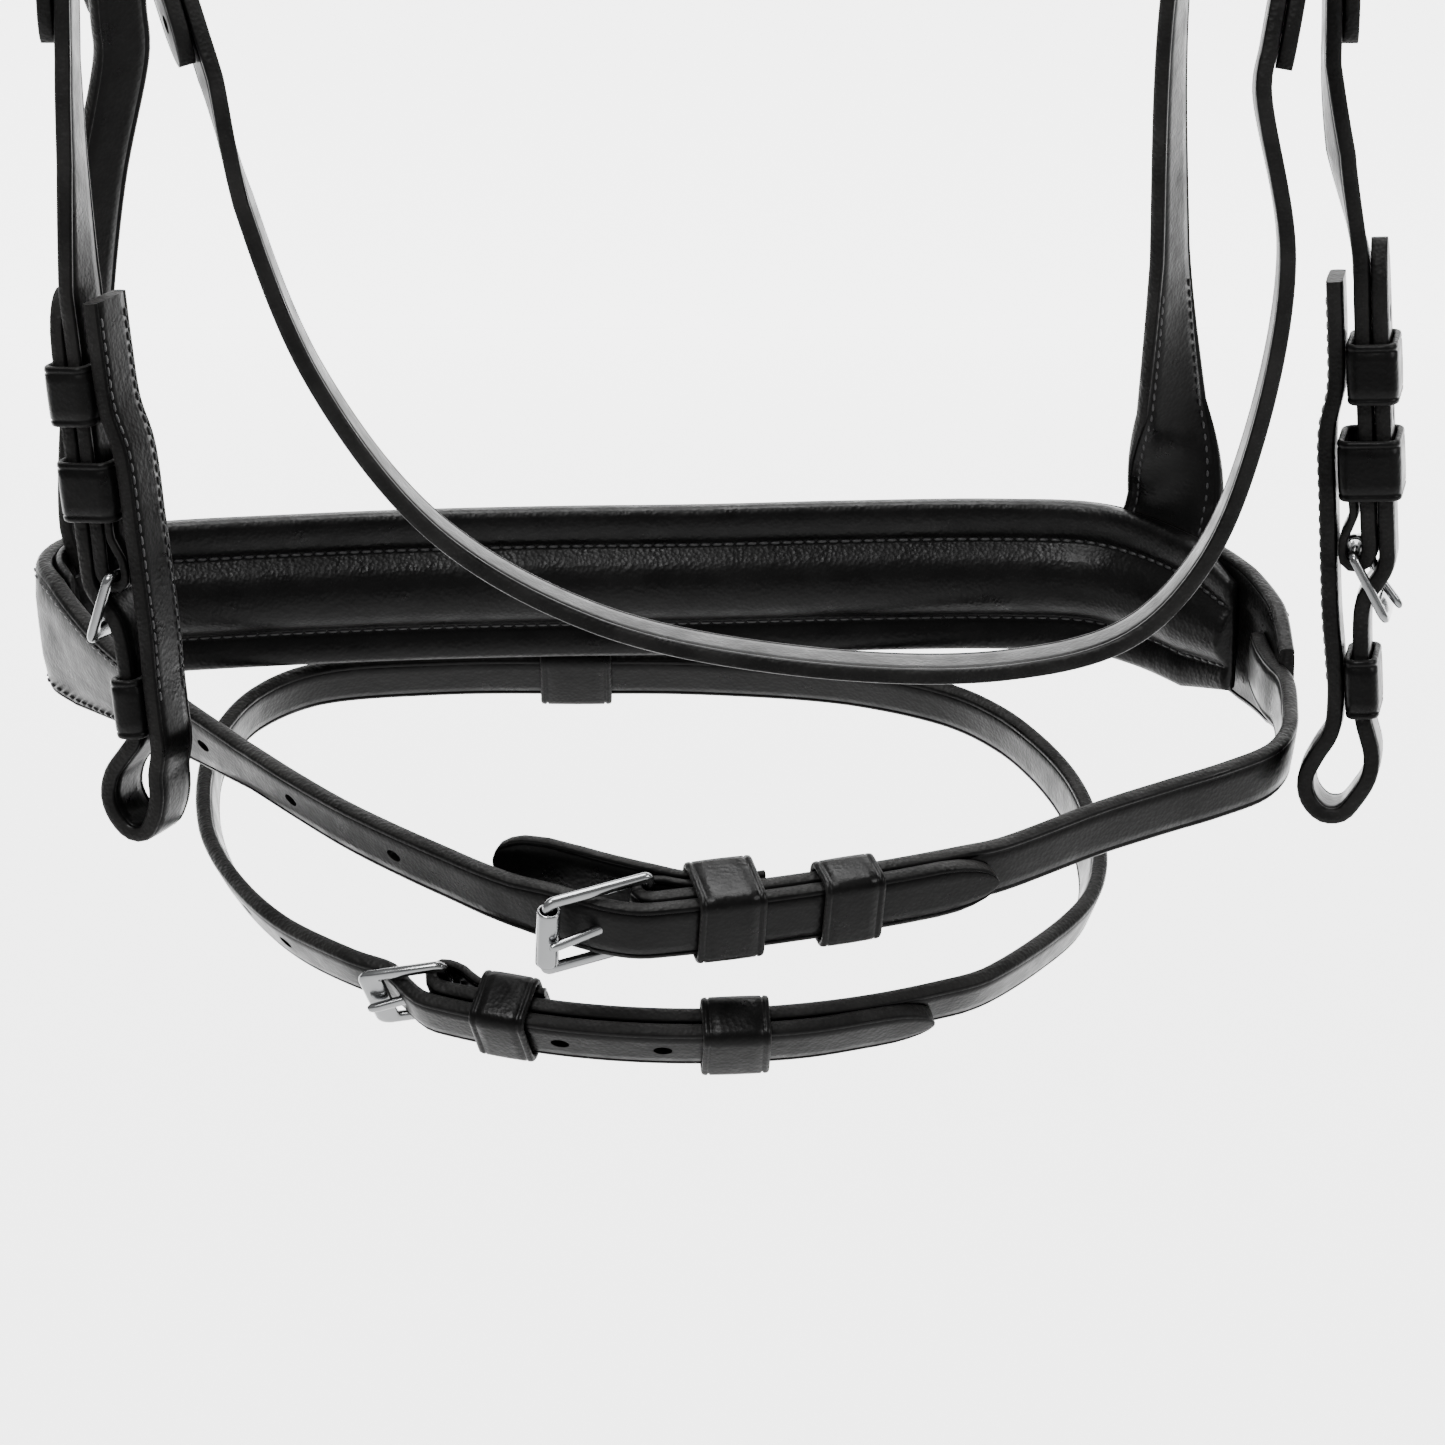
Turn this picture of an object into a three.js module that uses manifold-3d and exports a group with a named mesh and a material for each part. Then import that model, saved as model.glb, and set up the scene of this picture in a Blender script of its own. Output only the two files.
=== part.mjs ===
// A padded snaffle bridle with a flash noseband, hung from the poll.
// Millimetres, +Z up, +X to the horse's right, +Y towards its nose.
// The origin is the underside centre of the poll pad.
import * as THREE from "three";
import { mergeVertices } from "three/addons/utils/BufferGeometryUtils.js";
import Module from "manifold-3d";

const wasm = await Module();
wasm.setup();

// Leather
const LEATHER = 3.4; // strap thickness
const SKIVED = 1.8; // thickness of a turned-back strap end
const GAP = 0.3; // clearance between pieces that touch
const CHEEK_WIDTH = 13;
const NOSE_WIDTH = 13;
const FLASH_WIDTH = 12;
const THROAT_WIDTH = 11;
const CROWN_WIDTH = 30;
const BAND_HEIGHT = 32;
const NOSE_PAD_HEIGHT = 36;
const NOSE_PAD_THICK = 9;
const POLL_PAD_THICK = 12;
const POLL_PAD_WIDTH = 50;
const BROWBAND_HEIGHT = 16;

// Buckles: a flat steel frame that turns on its heel bar
const BAR = 1.0; // half the frame's thickness, and half its heel bar
const SIDE_BAR = 2.4; // width of the side and front bars
const FRAME_PLAY = 0.8; // between a strap's edge and the frame
const TONGUE_HALF = 0.9; // half the tongue's thickness
const TONGUE_LIFT = 8; // degrees that frame and tongue can lift together
const ROLLER_OUTER = 2.4;
const ROLLER_INNER = 1.8;

// Keepers
const KEEPER_WALL = 1.5;
const KEEPER_PLAY = 0.4;
const RUNNER_PLAY = 0.4; // more, for the runner that slides on a curve

// Layers of a buckled joint, measured outwards from the heel bar's axis
const FOLD = BAR * Math.SQRT2 + 0.1; // inside radius of a strap folded round the bar
const MAIN = FOLD + LEATHER / 2;
const BILLET = FOLD + LEATHER + GAP + LEATHER / 2;
const RETURN = FOLD - GAP - SKIVED / 2;
const BASE = -(FOLD + SKIVED + GAP + LEATHER / 2);

// The arch over the poll: the poll pad, the noseband's headstrap over it, and the crown over both
const ARCH_SIDE = 117;
const HEADSTRAP_LEVEL = POLL_PAD_THICK + GAP + LEATHER / 2;
const CROWN_LEVEL = HEADSTRAP_LEVEL + LEATHER + 1.2; // with some slack between the two straps
const CROWN_SIDE = ARCH_SIDE + CROWN_LEVEL;
const HEADSTRAP_SIDE = ARCH_SIDE + HEADSTRAP_LEVEL;
const CHEEK_FLEX = 1.8; // how far below the flex line the cheekpieces' tails start
const SIDE_FLEX = 4.4; // and the tails that swing across their own width

// Heights
const FLEX_LEVEL = -172.5; // the straps flex on this line, just below the browband
const BROWBAND_LEVEL = -150;

// The planes of the two rings: z = level + slope * y
const NOSE_PLANE = { level: -452.9, slope: 0.169 };
const FLASH_PLANE = { level: -481.7, slope: 0.1975 };

const BLACK = { color: 0x161514, roughness: 0.5, metalness: 0 };
const LINING = { color: 0x1b1a19, roughness: 0.62, metalness: 0 };
const STEEL = { color: 0xb9bcc0, roughness: 0.22, metalness: 1 };

const vec = (x, y, z) => new THREE.Vector3(x, y, z);
const radians = THREE.MathUtils.degToRad;
const bridle = new THREE.Group();

// A unit vector turned by an angle towards another that it is square to.
function turnTowards(from, to, angle) {
  return from.clone().multiplyScalar(Math.cos(angle)).addScaledVector(to, Math.sin(angle));
}

function addNode(name, geometry, finish) {
  const mesh = new THREE.Mesh(geometry, new THREE.MeshStandardMaterial(finish));
  mesh.name = name;
  bridle.add(mesh);
}

// ---------------------------------------------------------------- solids

function clean(geometry) {
  geometry.deleteAttribute("normal");
  geometry.deleteAttribute("uv");
  return mergeVertices(geometry, 1e-4);
}

function toManifold(geometry) {
  const merged = clean(geometry);
  return new wasm.Manifold(
    new wasm.Mesh({
      numProp: 3,
      vertProperties: new Float32Array(merged.attributes.position.array),
      triVerts: new Uint32Array(merged.index.array),
    })
  );
}

function fromManifold(solid) {
  const mesh = solid.getMesh();
  const geometry = new THREE.BufferGeometry();
  geometry.setAttribute("position", new THREE.BufferAttribute(mesh.vertProperties, 3));
  geometry.setIndex(new THREE.BufferAttribute(mesh.triVerts, 1));
  return geometry;
}

function join(geometries) {
  return fromManifold(geometries.map(toManifold).reduce((whole, solid) => whole.add(solid)));
}

function cut(geometry, tools) {
  let rest = toManifold(geometry);
  for (const tool of tools) {
    rest = rest.subtract(toManifold(tool));
  }
  return fromManifold(rest);
}

// A flat outline in a frame's (along, outward) plane, extruded across the strap's width.
function extrudeAcross(shape, frame, width) {
  const geometry = new THREE.ExtrudeGeometry(shape, { depth: width, bevelEnabled: false, curveSegments: 5 });
  geometry.translate(0, 0, -width / 2);
  return turned(geometry, frame.along, frame.outward, frame.position);
}

// An outline across the strap, in its (width, outward) plane, extruded along it.
function extrudeAlong(shape, frame, length) {
  const geometry = new THREE.ExtrudeGeometry(shape, { depth: length, bevelEnabled: false, curveSegments: 2 });
  geometry.translate(0, 0, -length / 2);
  return turned(geometry, frame.width, frame.outward, frame.position);
}

function turned(geometry, xAxis, yAxis, position) {
  const zAxis = vec(0, 0, 0).crossVectors(xAxis, yAxis);
  const matrix = new THREE.Matrix4().makeBasis(xAxis, yAxis, zAxis);
  matrix.setPosition(position);
  return geometry.applyMatrix4(matrix);
}

function roundedRectangle(halfWidth, low, high, corner) {
  const shape = new THREE.Shape();
  shape.moveTo(-halfWidth + corner, low);
  shape.lineTo(halfWidth - corner, low);
  shape.absarc(halfWidth - corner, low + corner, corner, -Math.PI / 2, 0);
  shape.lineTo(halfWidth, high - corner);
  shape.absarc(halfWidth - corner, high - corner, corner, 0, Math.PI / 2);
  shape.lineTo(-halfWidth + corner, high);
  shape.absarc(-halfWidth + corner, high - corner, corner, Math.PI / 2, Math.PI);
  shape.lineTo(-halfWidth, low + corner);
  shape.absarc(-halfWidth + corner, low + corner, corner, Math.PI, Math.PI * 1.5);
  return shape;
}

function rectangleHole(halfWidth, low, high) {
  const hole = new THREE.Path();
  hole.moveTo(-halfWidth, low);
  hole.lineTo(-halfWidth, high);
  hole.lineTo(halfWidth, high);
  hole.lineTo(halfWidth, low);
  hole.closePath();
  return hole;
}

// ---------------------------------------------------------------- straps

// A strap follows a route of stops { p, w, width, thick }: place, direction of its width, and size.
function sampleRoute(route, step) {
  const curve = new THREE.CatmullRomCurve3(route.map((stop) => stop.p), false, "centripetal");
  const last = route.length - 1;
  const samples = [];
  for (let i = 0; i < last; i++) {
    const a = route[i];
    const b = route[i + 1];
    const count = Math.max(1, Math.ceil(a.p.distanceTo(b.p) / step));
    for (let k = 0; k < count; k++) {
      const f = k / count;
      samples.push({
        p: curve.getPoint((i + f) / last),
        w: a.w.clone().lerp(b.w, f),
        width: THREE.MathUtils.lerp(a.width, b.width, f),
        thick: THREE.MathUtils.lerp(a.thick, b.thick, f),
      });
    }
  }
  samples.push({ ...route[last], p: route[last].p.clone(), w: route[last].w.clone() });
  return samples;
}

function strap(route, step = 9) {
  const samples = sampleRoute(route, step);
  const corners = [];
  samples.forEach((sample, i) => {
    const before = samples[Math.max(i - 1, 0)].p;
    const after = samples[Math.min(i + 1, samples.length - 1)].p;
    const tangent = after.clone().sub(before).normalize();
    const across = sample.w.clone().addScaledVector(tangent, -sample.w.dot(tangent)).normalize();
    const normal = across.clone().cross(tangent).normalize();
    for (const [side, face] of [[-1, -1], [1, -1], [1, 1], [-1, 1]]) {
      corners.push(
        sample.p
          .clone()
          .addScaledVector(across, (side * sample.width) / 2)
          .addScaledVector(normal, (face * sample.thick) / 2)
      );
    }
  });
  const index = [0, 1, 2, 0, 2, 3];
  for (let i = 0; i + 1 < samples.length; i++) {
    for (let side = 0; side < 4; side++) {
      const a = i * 4 + side;
      const b = i * 4 + ((side + 1) % 4);
      index.push(a, a + 4, b, b, a + 4, b + 4);
    }
  }
  const end = (samples.length - 1) * 4;
  index.push(end, end + 2, end + 1, end, end + 3, end + 2);
  const geometry = new THREE.BufferGeometry();
  geometry.setAttribute("position", new THREE.Float32BufferAttribute(corners.flatMap((c) => c.toArray()), 3));
  geometry.setIndex(index);
  return geometry;
}

function stop(p, w, width, thick = LEATHER) {
  return { p, w, width, thick };
}

// Stops at plain points that share one direction of width.
function stopsAt(points, w, width, thick = LEATHER) {
  return points.map(([x, y, z]) => stop(vec(x, y, z), w.clone(), width, thick));
}

// Narrows the last stops of a route to a rounded point.
function pointed(route, full) {
  const end = route[route.length - 1];
  const before = route[route.length - 2];
  const direction = end.p.clone().sub(before.p).normalize();
  const tip = [0.35, 0.7, 0.92, 1].map((f) => {
    const p = end.p.clone().addScaledVector(direction, (f - 1) * full);
    return stop(p, end.w.clone(), Math.max(full * Math.sqrt(1 - f * f), 2), end.thick);
  });
  const base = stop(end.p.clone().addScaledVector(direction, -full), end.w.clone(), end.width, end.thick);
  return [...route.slice(0, -1), base, ...tip];
}

// ---------------------------------------------------------------- rings round the muzzle

function planeNormal(plane) {
  return vec(0, -plane.slope, 1).normalize();
}

// Stops on a ring, from plan points [x, y, lean]; lean tips the strap's upper edge outwards, in degrees.
function ringStops(points, plane, width, thick, inset = 0) {
  const up = planeNormal(plane);
  const places = points.map(([x, y]) => vec(x, y, plane.level + plane.slope * y));
  return places.map((place, i) => {
    const before = places[Math.max(i - 1, 0)];
    const after = places[Math.min(i + 1, places.length - 1)];
    const out = after.clone().sub(before).cross(up).normalize();
    if (out.dot(vec(place.x, place.y, 0)) < 0) out.negate();
    const tip = radians(points[i][2]);
    const w = up.clone().multiplyScalar(Math.cos(tip)).addScaledVector(out, Math.sin(tip));
    const normal = out.clone().multiplyScalar(Math.cos(tip)).addScaledVector(up, -Math.sin(tip));
    return stop(place.clone().addScaledVector(normal, -inset), w, width, thick);
  });
}

// ---------------------------------------------------------------- buckled joints

// The place of a buckled joint. s runs along the strap from the heel bar, positive towards the front bar,
// and h runs outwards from the heel bar's axis. radius bends the part behind the heel bar round the ring.
class Joint {
  constructor({ origin, along, up, outward, lean = 0, radius = Infinity }) {
    this.origin = origin;
    this.up = up.clone().normalize();
    this.along = along.clone().addScaledVector(this.up, -along.dot(this.up)).normalize();
    this.out = this.along.clone().cross(this.up).normalize();
    if (this.out.dot(outward) < 0) this.out.negate();
    this.lean = radians(lean);
    this.radius = radius;
  }

  frame(s) {
    const angle = s < 0 && Number.isFinite(this.radius) ? s / this.radius : 0;
    const along = turnTowards(this.along, this.out, -angle);
    const out = this.out.clone().multiplyScalar(Math.cos(angle)).addScaledVector(this.along, Math.sin(angle));
    const position = this.origin.clone();
    if (angle === 0) {
      position.addScaledVector(this.along, s);
    } else {
      position.addScaledVector(this.along, this.radius * Math.sin(angle));
      position.addScaledVector(this.out, this.radius * (Math.cos(angle) - 1));
    }
    const width = turnTowards(this.up, out, this.lean);
    const outward = turnTowards(out, this.up, -this.lean);
    return { position, along, width, outward };
  }

  stop(s, h, width, thick = LEATHER) {
    const { position, width: w, outward } = this.frame(s);
    return stop(position.addScaledVector(outward, h), w, width, thick);
  }
}

// The strap end that folds round the heel bar, from its skived end to far behind the bar.
function chapeStops(joint, width, tail, from) {
  const turned = [
    joint.stop(-tail, RETURN - GAP, width, SKIVED),
    joint.stop(-7.5, RETURN - GAP, width, SKIVED),
    joint.stop(-3.5, -(FOLD + SKIVED / 2) + 0.5, width, SKIVED),
  ];
  for (let degrees = 180; degrees >= 0; degrees -= 36) {
    const thick = THREE.MathUtils.lerp(LEATHER, SKIVED, degrees / 180);
    const radius = FOLD + thick / 2;
    const angle = radians(degrees);
    turned.push(joint.stop(radius * Math.sin(angle), radius * Math.cos(angle), width, thick));
  }
  for (let s = -6; s > from; s -= 12) turned.push(joint.stop(s, MAIN, width));
  turned.push(joint.stop(from, MAIN, width));
  return turned;
}

// The slot in that fold, where the tongue stands.
function chapeSlot(joint) {
  const shape = new THREE.Shape();
  shape.moveTo(-4, -6);
  shape.lineTo(8, -6);
  shape.lineTo(8, BILLET - LEATHER / 2);
  shape.lineTo(-4, BILLET - LEATHER / 2);
  shape.closePath();
  return extrudeAcross(shape, joint.frame(0), 4);
}

function tongueAngle(buckle) {
  const rise = (buckle.roller ? ROLLER_OUTER : BAR) + GAP + TONGUE_HALF;
  return radians(buckle.tilt) + Math.atan2(rise, buckle.length);
}

// The punched hole that the tongue comes out of, slanted with the tongue and long enough for its lift.
function tongueHole(joint, buckle) {
  const rest = tongueAngle(buckle);
  const lifted = rest + radians(TONGUE_LIFT);
  const side = TONGUE_HALF + 0.35;
  const shape = new THREE.Shape();
  const corner = (angle, r, offset) => [
    r * Math.cos(angle) - offset * Math.sin(angle),
    r * Math.sin(angle) + offset * Math.cos(angle),
  ];
  shape.moveTo(...corner(rest, 3.2, -side));
  shape.lineTo(...corner(rest, 15, -side));
  shape.lineTo(...corner(lifted, 15, side));
  shape.lineTo(...corner(lifted, 3.2, side));
  shape.closePath();
  return extrudeAcross(shape, joint.frame(0), 3.2);
}

function tippedFrame(joint, tilt) {
  const { position, along, width, outward } = joint.frame(0);
  const angle = radians(tilt);
  return {
    position,
    width,
    along: turnTowards(along, outward, angle),
    outward: turnTowards(outward, along, -angle),
  };
}

// A plate with a window, standing on its heel bar; buckle.front is the front bar's width.
function buckleFrame(joint, strapWidth, buckle) {
  const frame = tippedFrame(joint, buckle.tilt);
  const inner = strapWidth / 2 + FRAME_PLAY;
  const plate = roundedRectangle(inner + SIDE_BAR, -BAR, buckle.length + buckle.front - BAR, 1.8);
  plate.holes.push(rectangleHole(inner, BAR, buckle.length - BAR));
  const geometry = new THREE.ExtrudeGeometry(plate, { depth: 2 * BAR, bevelEnabled: false, curveSegments: 3 });
  geometry.translate(0, 0, -BAR);
  return turned(geometry, frame.width, frame.along, frame.position);
}

function buckleTongue(joint, buckle) {
  const angle = tongueAngle(buckle);
  const ring = 2.75;
  const reach = buckle.length + buckle.front - BAR;
  const spread = Math.asin((TONGUE_HALF + 0.3) / ring);
  const shape = new THREE.Shape();
  shape.absarc(0, 0, ring, angle + spread, angle - spread + 2 * Math.PI);
  shape.lineTo(
    reach * Math.cos(angle) + TONGUE_HALF * Math.sin(angle),
    reach * Math.sin(angle) - TONGUE_HALF * Math.cos(angle)
  );
  shape.lineTo(
    (reach + 1) * Math.cos(angle) - TONGUE_HALF * Math.sin(angle),
    (reach + 1) * Math.sin(angle) + TONGUE_HALF * Math.cos(angle)
  );
  shape.closePath();
  const eye = new THREE.Path();
  eye.absarc(0, 0, BAR * Math.SQRT2 + GAP, 0, 2 * Math.PI, true);
  shape.holes.push(eye);
  return extrudeAcross(shape, joint.frame(0), 2.4);
}

function roller(joint, strapWidth, buckle) {
  const frame = tippedFrame(joint, buckle.tilt);
  const shape = new THREE.Shape();
  shape.absarc(0, 0, ROLLER_OUTER, 0, 2 * Math.PI);
  const bore = new THREE.Path();
  bore.absarc(0, 0, ROLLER_INNER, 0, 2 * Math.PI, true);
  shape.holes.push(bore);
  frame.position = frame.position.clone().addScaledVector(frame.along, buckle.length);
  return extrudeAcross(shape, frame, strapWidth + 2 * FRAME_PLAY - 1);
}

// A leather loop round a stack of straps that reaches from low to high.
function keeper(joint, s, strapWidth, low, high, length) {
  const inner = strapWidth / 2 + KEEPER_PLAY;
  const shape = roundedRectangle(
    inner + KEEPER_WALL,
    low - KEEPER_PLAY - KEEPER_WALL,
    high + KEEPER_PLAY + KEEPER_WALL,
    1.2
  );
  shape.holes.push(rectangleHole(inner, low - KEEPER_PLAY, high + KEEPER_PLAY));
  return extrudeAlong(shape, joint.frame(s), length);
}

const BILLET_TOP = BILLET + LEATHER / 2;
const MAIN_UNDER = MAIN - LEATHER / 2;
const RETURN_UNDER = RETURN - GAP - SKIVED / 2;

function addBuckle(name, joint, strapWidth, buckle) {
  addNode(`${name}_buckle_frame`, buckleFrame(joint, strapWidth, buckle), STEEL);
  addNode(`${name}_buckle_tongue`, buckleTongue(joint, buckle), STEEL);
  if (buckle.roller) addNode(`${name}_buckle_roller`, roller(joint, strapWidth, buckle), STEEL);
}

// ---------------------------------------------------------------- the two sides

const SIDES = {
  left: {
    sign: -1,
    top: new Joint({
      origin: vec(-126.5, -4, -236),
      along: vec(0, 0.1, 0.995),
      up: vec(0.1, 0.99, -0.1),
      outward: vec(-1, 0, 0),
    }),
    bit: new Joint({
      origin: vec(-118.8, -18, -411),
      along: vec(0.1, 0, -0.995),
      up: vec(0.45, 0.89, 0.05),
      outward: vec(-1, 0, 0),
    }),
    throat: new Joint({
      origin: vec(-110, -30, -256),
      along: vec(-0.3, 0.22, 0.93),
      up: vec(-0.25, 0.95, -0.3),
      outward: vec(-1, 0, 0),
    }),
    cheek: [[-129, -14, -326]],
    bit_reach: 60,
    bit_loop: [-4.6, -3.2, -2.8, -1.2, 1.4, 4.8, 8, 9.2, 7.6, 3.2],
  },
  right: {
    sign: 1,
    top: new Joint({
      origin: vec(127, -4, -236),
      along: vec(0, 0.1, 0.995),
      up: vec(0, 0.995, -0.1),
      outward: vec(1, 0, 0),
    }),
    bit: new Joint({
      origin: vec(137.6, -13, -408),
      along: vec(0.055, 0, -1),
      up: vec(0.16, 0.985, 0),
      outward: vec(1, 0, 0),
    }),
    throat: new Joint({
      origin: vec(119, -31, -256),
      along: vec(0.17, 0.22, 0.96),
      up: vec(0, 0.97, -0.22),
      outward: vec(1, 0, 0),
    }),
    cheek: [[132.5, -12.5, -324]],
    bit_reach: 66,
    bit_loop: [-6, -9.2, -11.7, -11.2, -8.2, -4.4, -1.2, 1.6, 2.4, 1.4],
  },
};

const BIT_BUCKLE = { length: 12.5, tilt: 25, front: 4.5 };
const THROAT_BUCKLE = { length: 13, tilt: 24, front: 2.4 };
const HEAD_BUCKLE = { length: 13, tilt: 24, front: 2.4 };
const FLASH_BUCKLE = { length: 14, tilt: 24, front: 5 };
const CHIN_BUCKLE = { length: 22.5, tilt: 14, front: 2.4, roller: true };

// Where a billet passes under the front bar and climbs over the fold.
function underFrontBar(buckle) {
  const angle = radians(buckle.tilt);
  const inner = buckle.length - BAR;
  const s = inner * Math.cos(angle);
  const h = inner * Math.sin(angle) - BAR * Math.cos(angle) - GAP - LEATHER / 2 - 0.2;
  const top = BILLET - 0.3;
  return [[s + 9, h - 0.8], [s, h], [(s + 3) / 2, (h + top) / 2 + 0.2], [3, top]];
}

// A strap that comes from the front, dips under the front bar and lies on the strap behind the heel bar.
function billetStops(joint, width, tip, front) {
  const stops = front.map(([s, h]) => joint.stop(s, h, width));
  for (let s = -3; s > 14 - tip; s -= 12) stops.push(joint.stop(s, BILLET, width));
  stops.push(joint.stop(-tip, BILLET, width));
  return pointed(stops, width);
}

const LOWER_KEEPER = 0.8; // height of the billet inside the lower keeper

function addCheek(side, { sign, top, bit, cheek, bit_reach: reach, bit_loop: heights }) {
  // Cheek strap: folded round the upper buckle at one end and round the bit buckle at the other.
  const upper = chapeStops(top, CHEEK_WIDTH, 22, -70);
  const lower = chapeStops(bit, CHEEK_WIDTH, 13, -60).reverse();
  const between = stopsAt(cheek, vec(sign * -0.2, 1, 0), CHEEK_WIDTH);
  const body = cut(strap([...upper, ...between, ...lower]), [chapeSlot(top), chapeSlot(bit)]);
  addNode(`cheek_strap_${side}`, body, BLACK);

  // Bit billet: sewn inside the cheek strap, round the bit loop and back up through the buckle.
  const loop = [39, 44, 49, 53.5, 56.8, 56.8, 53.5, 49, 44, 39].map((s, i) => [s, heights[i]]);
  const path = [
    [-58, -2.4], [-46, -2.4], [-35, -2.8], [-26, -4.9], [-10, -5.2],
    [2, BASE], [14, BASE], [23, -4.9], [31, -4.8],
    ...loop,
    [36, LOWER_KEEPER], [29, LOWER_KEEPER], [22.5, LOWER_KEEPER],
    ...underFrontBar(BIT_BUCKLE).slice(1),
  ];
  const bitBillet = strap(billetStops(bit, CHEEK_WIDTH, reach, path));
  addNode(`bit_billet_${side}`, cut(bitBillet, [tongueHole(bit, BIT_BUCKLE)]), BLACK);

  addBuckle(`bit_${side}`, bit, CHEEK_WIDTH, BIT_BUCKLE);
  addNode(`bit_keeper_upper_${side}`, keeper(bit, -38.5, CHEEK_WIDTH, MAIN_UNDER, BILLET_TOP, 13), BLACK);
  addNode(`bit_keeper_middle_${side}`, keeper(bit, -18, CHEEK_WIDTH, RETURN_UNDER, BILLET_TOP, 13), BLACK);
  const lowest = keeper(bit, 29, CHEEK_WIDTH, LOWER_KEEPER - LEATHER / 2, LOWER_KEEPER + LEATHER / 2, 13);
  addNode(`bit_keeper_lower_${side}`, lowest, BLACK);

  // Cheek billet: the headpiece's tail below the line it flexes on.
  const flex = stop(vec(sign * CROWN_SIDE, 2.6, FLEX_LEVEL - CHEEK_FLEX), vec(0, 1, 0), CHEEK_WIDTH);
  const fromCrown = [[48, 8], [33, 5], ...underFrontBar(BIT_BUCKLE)];
  const billet = strap([flex, ...billetStops(top, CHEEK_WIDTH, 66, fromCrown)]);
  addNode(`cheek_billet_${side}`, cut(billet, [tongueHole(top, BIT_BUCKLE)]), BLACK);
  addBuckle(`cheek_${side}`, top, CHEEK_WIDTH, BIT_BUCKLE);
  addNode(`cheek_keeper_${side}`, keeper(top, -14, CHEEK_WIDTH, RETURN_UNDER, BILLET_TOP, 11), BLACK);
  addNode(`cheek_runner_${side}`, keeper(top, -36, CHEEK_WIDTH, MAIN_UNDER, BILLET_TOP, 11), BLACK);
}

for (const [side, layout] of Object.entries(SIDES)) addCheek(side, layout);

// ---------------------------------------------------------------- throatlash

const THROAT_ROUTE = [
  [-92, -42, -328], [-78, -43, -364], [-54, -43, -396], [-22, -43, -415], [17, -43, -424], [62, -43, -425.5],
  [88.5, -43, -418.5], [103.5, -42, -403], [113.5, -41, -378], [119.5, -40, -340],
];

function addThroatlash() {
  const { left, right } = SIDES;
  const route = [
    ...chapeStops(left.throat, THROAT_WIDTH, 20, -50),
    ...stopsAt(THROAT_ROUTE, vec(0, 1, 0.08), THROAT_WIDTH),
    ...chapeStops(right.throat, THROAT_WIDTH, 20, -50).reverse(),
  ];
  const slots = [chapeSlot(left.throat), chapeSlot(right.throat)];
  addNode("throatlash_strap", cut(strap(route, 14), slots), BLACK);
  for (const [side, { sign, throat }] of Object.entries(SIDES)) {
    const flex = stop(vec(sign * CROWN_SIDE, -10.5, FLEX_LEVEL - SIDE_FLEX), vec(0, 1, 0), THROAT_WIDTH);
    const front = [[46, 2], [32, 1.2], ...underFrontBar(THROAT_BUCKLE)];
    const route = [flex, ...billetStops(throat, THROAT_WIDTH, 46, front)];
    addNode(`throat_billet_${side}`, cut(strap(route), [tongueHole(throat, THROAT_BUCKLE)]), BLACK);
    addBuckle(`throat_${side}`, throat, THROAT_WIDTH, THROAT_BUCKLE);
    addNode(`throat_keeper_${side}`, keeper(throat, -13, THROAT_WIDTH, RETURN_UNDER, BILLET_TOP, 11), BLACK);
  }
}

addThroatlash();

// ---------------------------------------------------------------- headpiece, poll pad and browband

// Half of the arch over the poll, in the XZ plane, from the side up to the crown.
const ARCH = [
  [ARCH_SIDE, FLEX_LEVEL + 0.5], [ARCH_SIDE, -150], [ARCH_SIDE, -130], [ARCH_SIDE - 3.5, -100],
  [100, -62], [74, -28],
  [40, -8], [0, 0],
];
const SPLIT = 3; // the stop of the arch where the crown splits into its tails

// The whole arch at an offset outwards, as places with their outward directions.
function archPlaces(offset, points = ARCH) {
  const full = [...points.map(([x, z]) => [-x, z]), ...points.slice(0, -1).reverse()];
  return full.map(([x, z], i) => {
    const [bx, bz] = full[Math.max(i - 1, 0)];
    const [ax, az] = full[Math.min(i + 1, full.length - 1)];
    const out = vec(bz - az, 0, ax - bx).normalize();
    return vec(x, 0, z).addScaledVector(out, offset);
  });
}

// A strap over the arch, with its place fore and aft at each stop from the side up to the crown.
function archStops(offset, foreAft, width, thick) {
  const shifts = [...foreAft, ...foreAft.slice(0, -1).reverse()];
  return archPlaces(offset).map((p, i) => stop(p.clone().setY(shifts[i]), vec(0, 1, 0), width, thick));
}

const LEVEL = ARCH.map(() => 0);

function addHeadpiece() {
  const crown = archStops(CROWN_LEVEL, LEVEL, CROWN_WIDTH, LEATHER).slice(SPLIT, -SPLIT);
  const cheek = archStops(CROWN_LEVEL, [2.6, 5, 6.5, 7.5, ...LEVEL.slice(4)], CHEEK_WIDTH, LEATHER);
  const throat = archStops(CROWN_LEVEL, [-10.5, -9, -8.5, -8, ...LEVEL.slice(4)], THROAT_WIDTH, LEATHER);
  const branches = [cheek, throat].flatMap((stops) => [stops.slice(0, SPLIT + 1), stops.slice(-SPLIT - 1)]);
  addNode("headpiece", join([strap(crown, 14), ...branches.map((stops) => strap(stops))]), BLACK);

  const padded = archStops(POLL_PAD_THICK / 2, LEVEL, POLL_PAD_WIDTH, POLL_PAD_THICK);
  const pad = padded.slice(SPLIT + 1, -SPLIT - 1);
  addNode("poll_pad", strap(pad, 16), LINING);
}

addHeadpiece();

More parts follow.
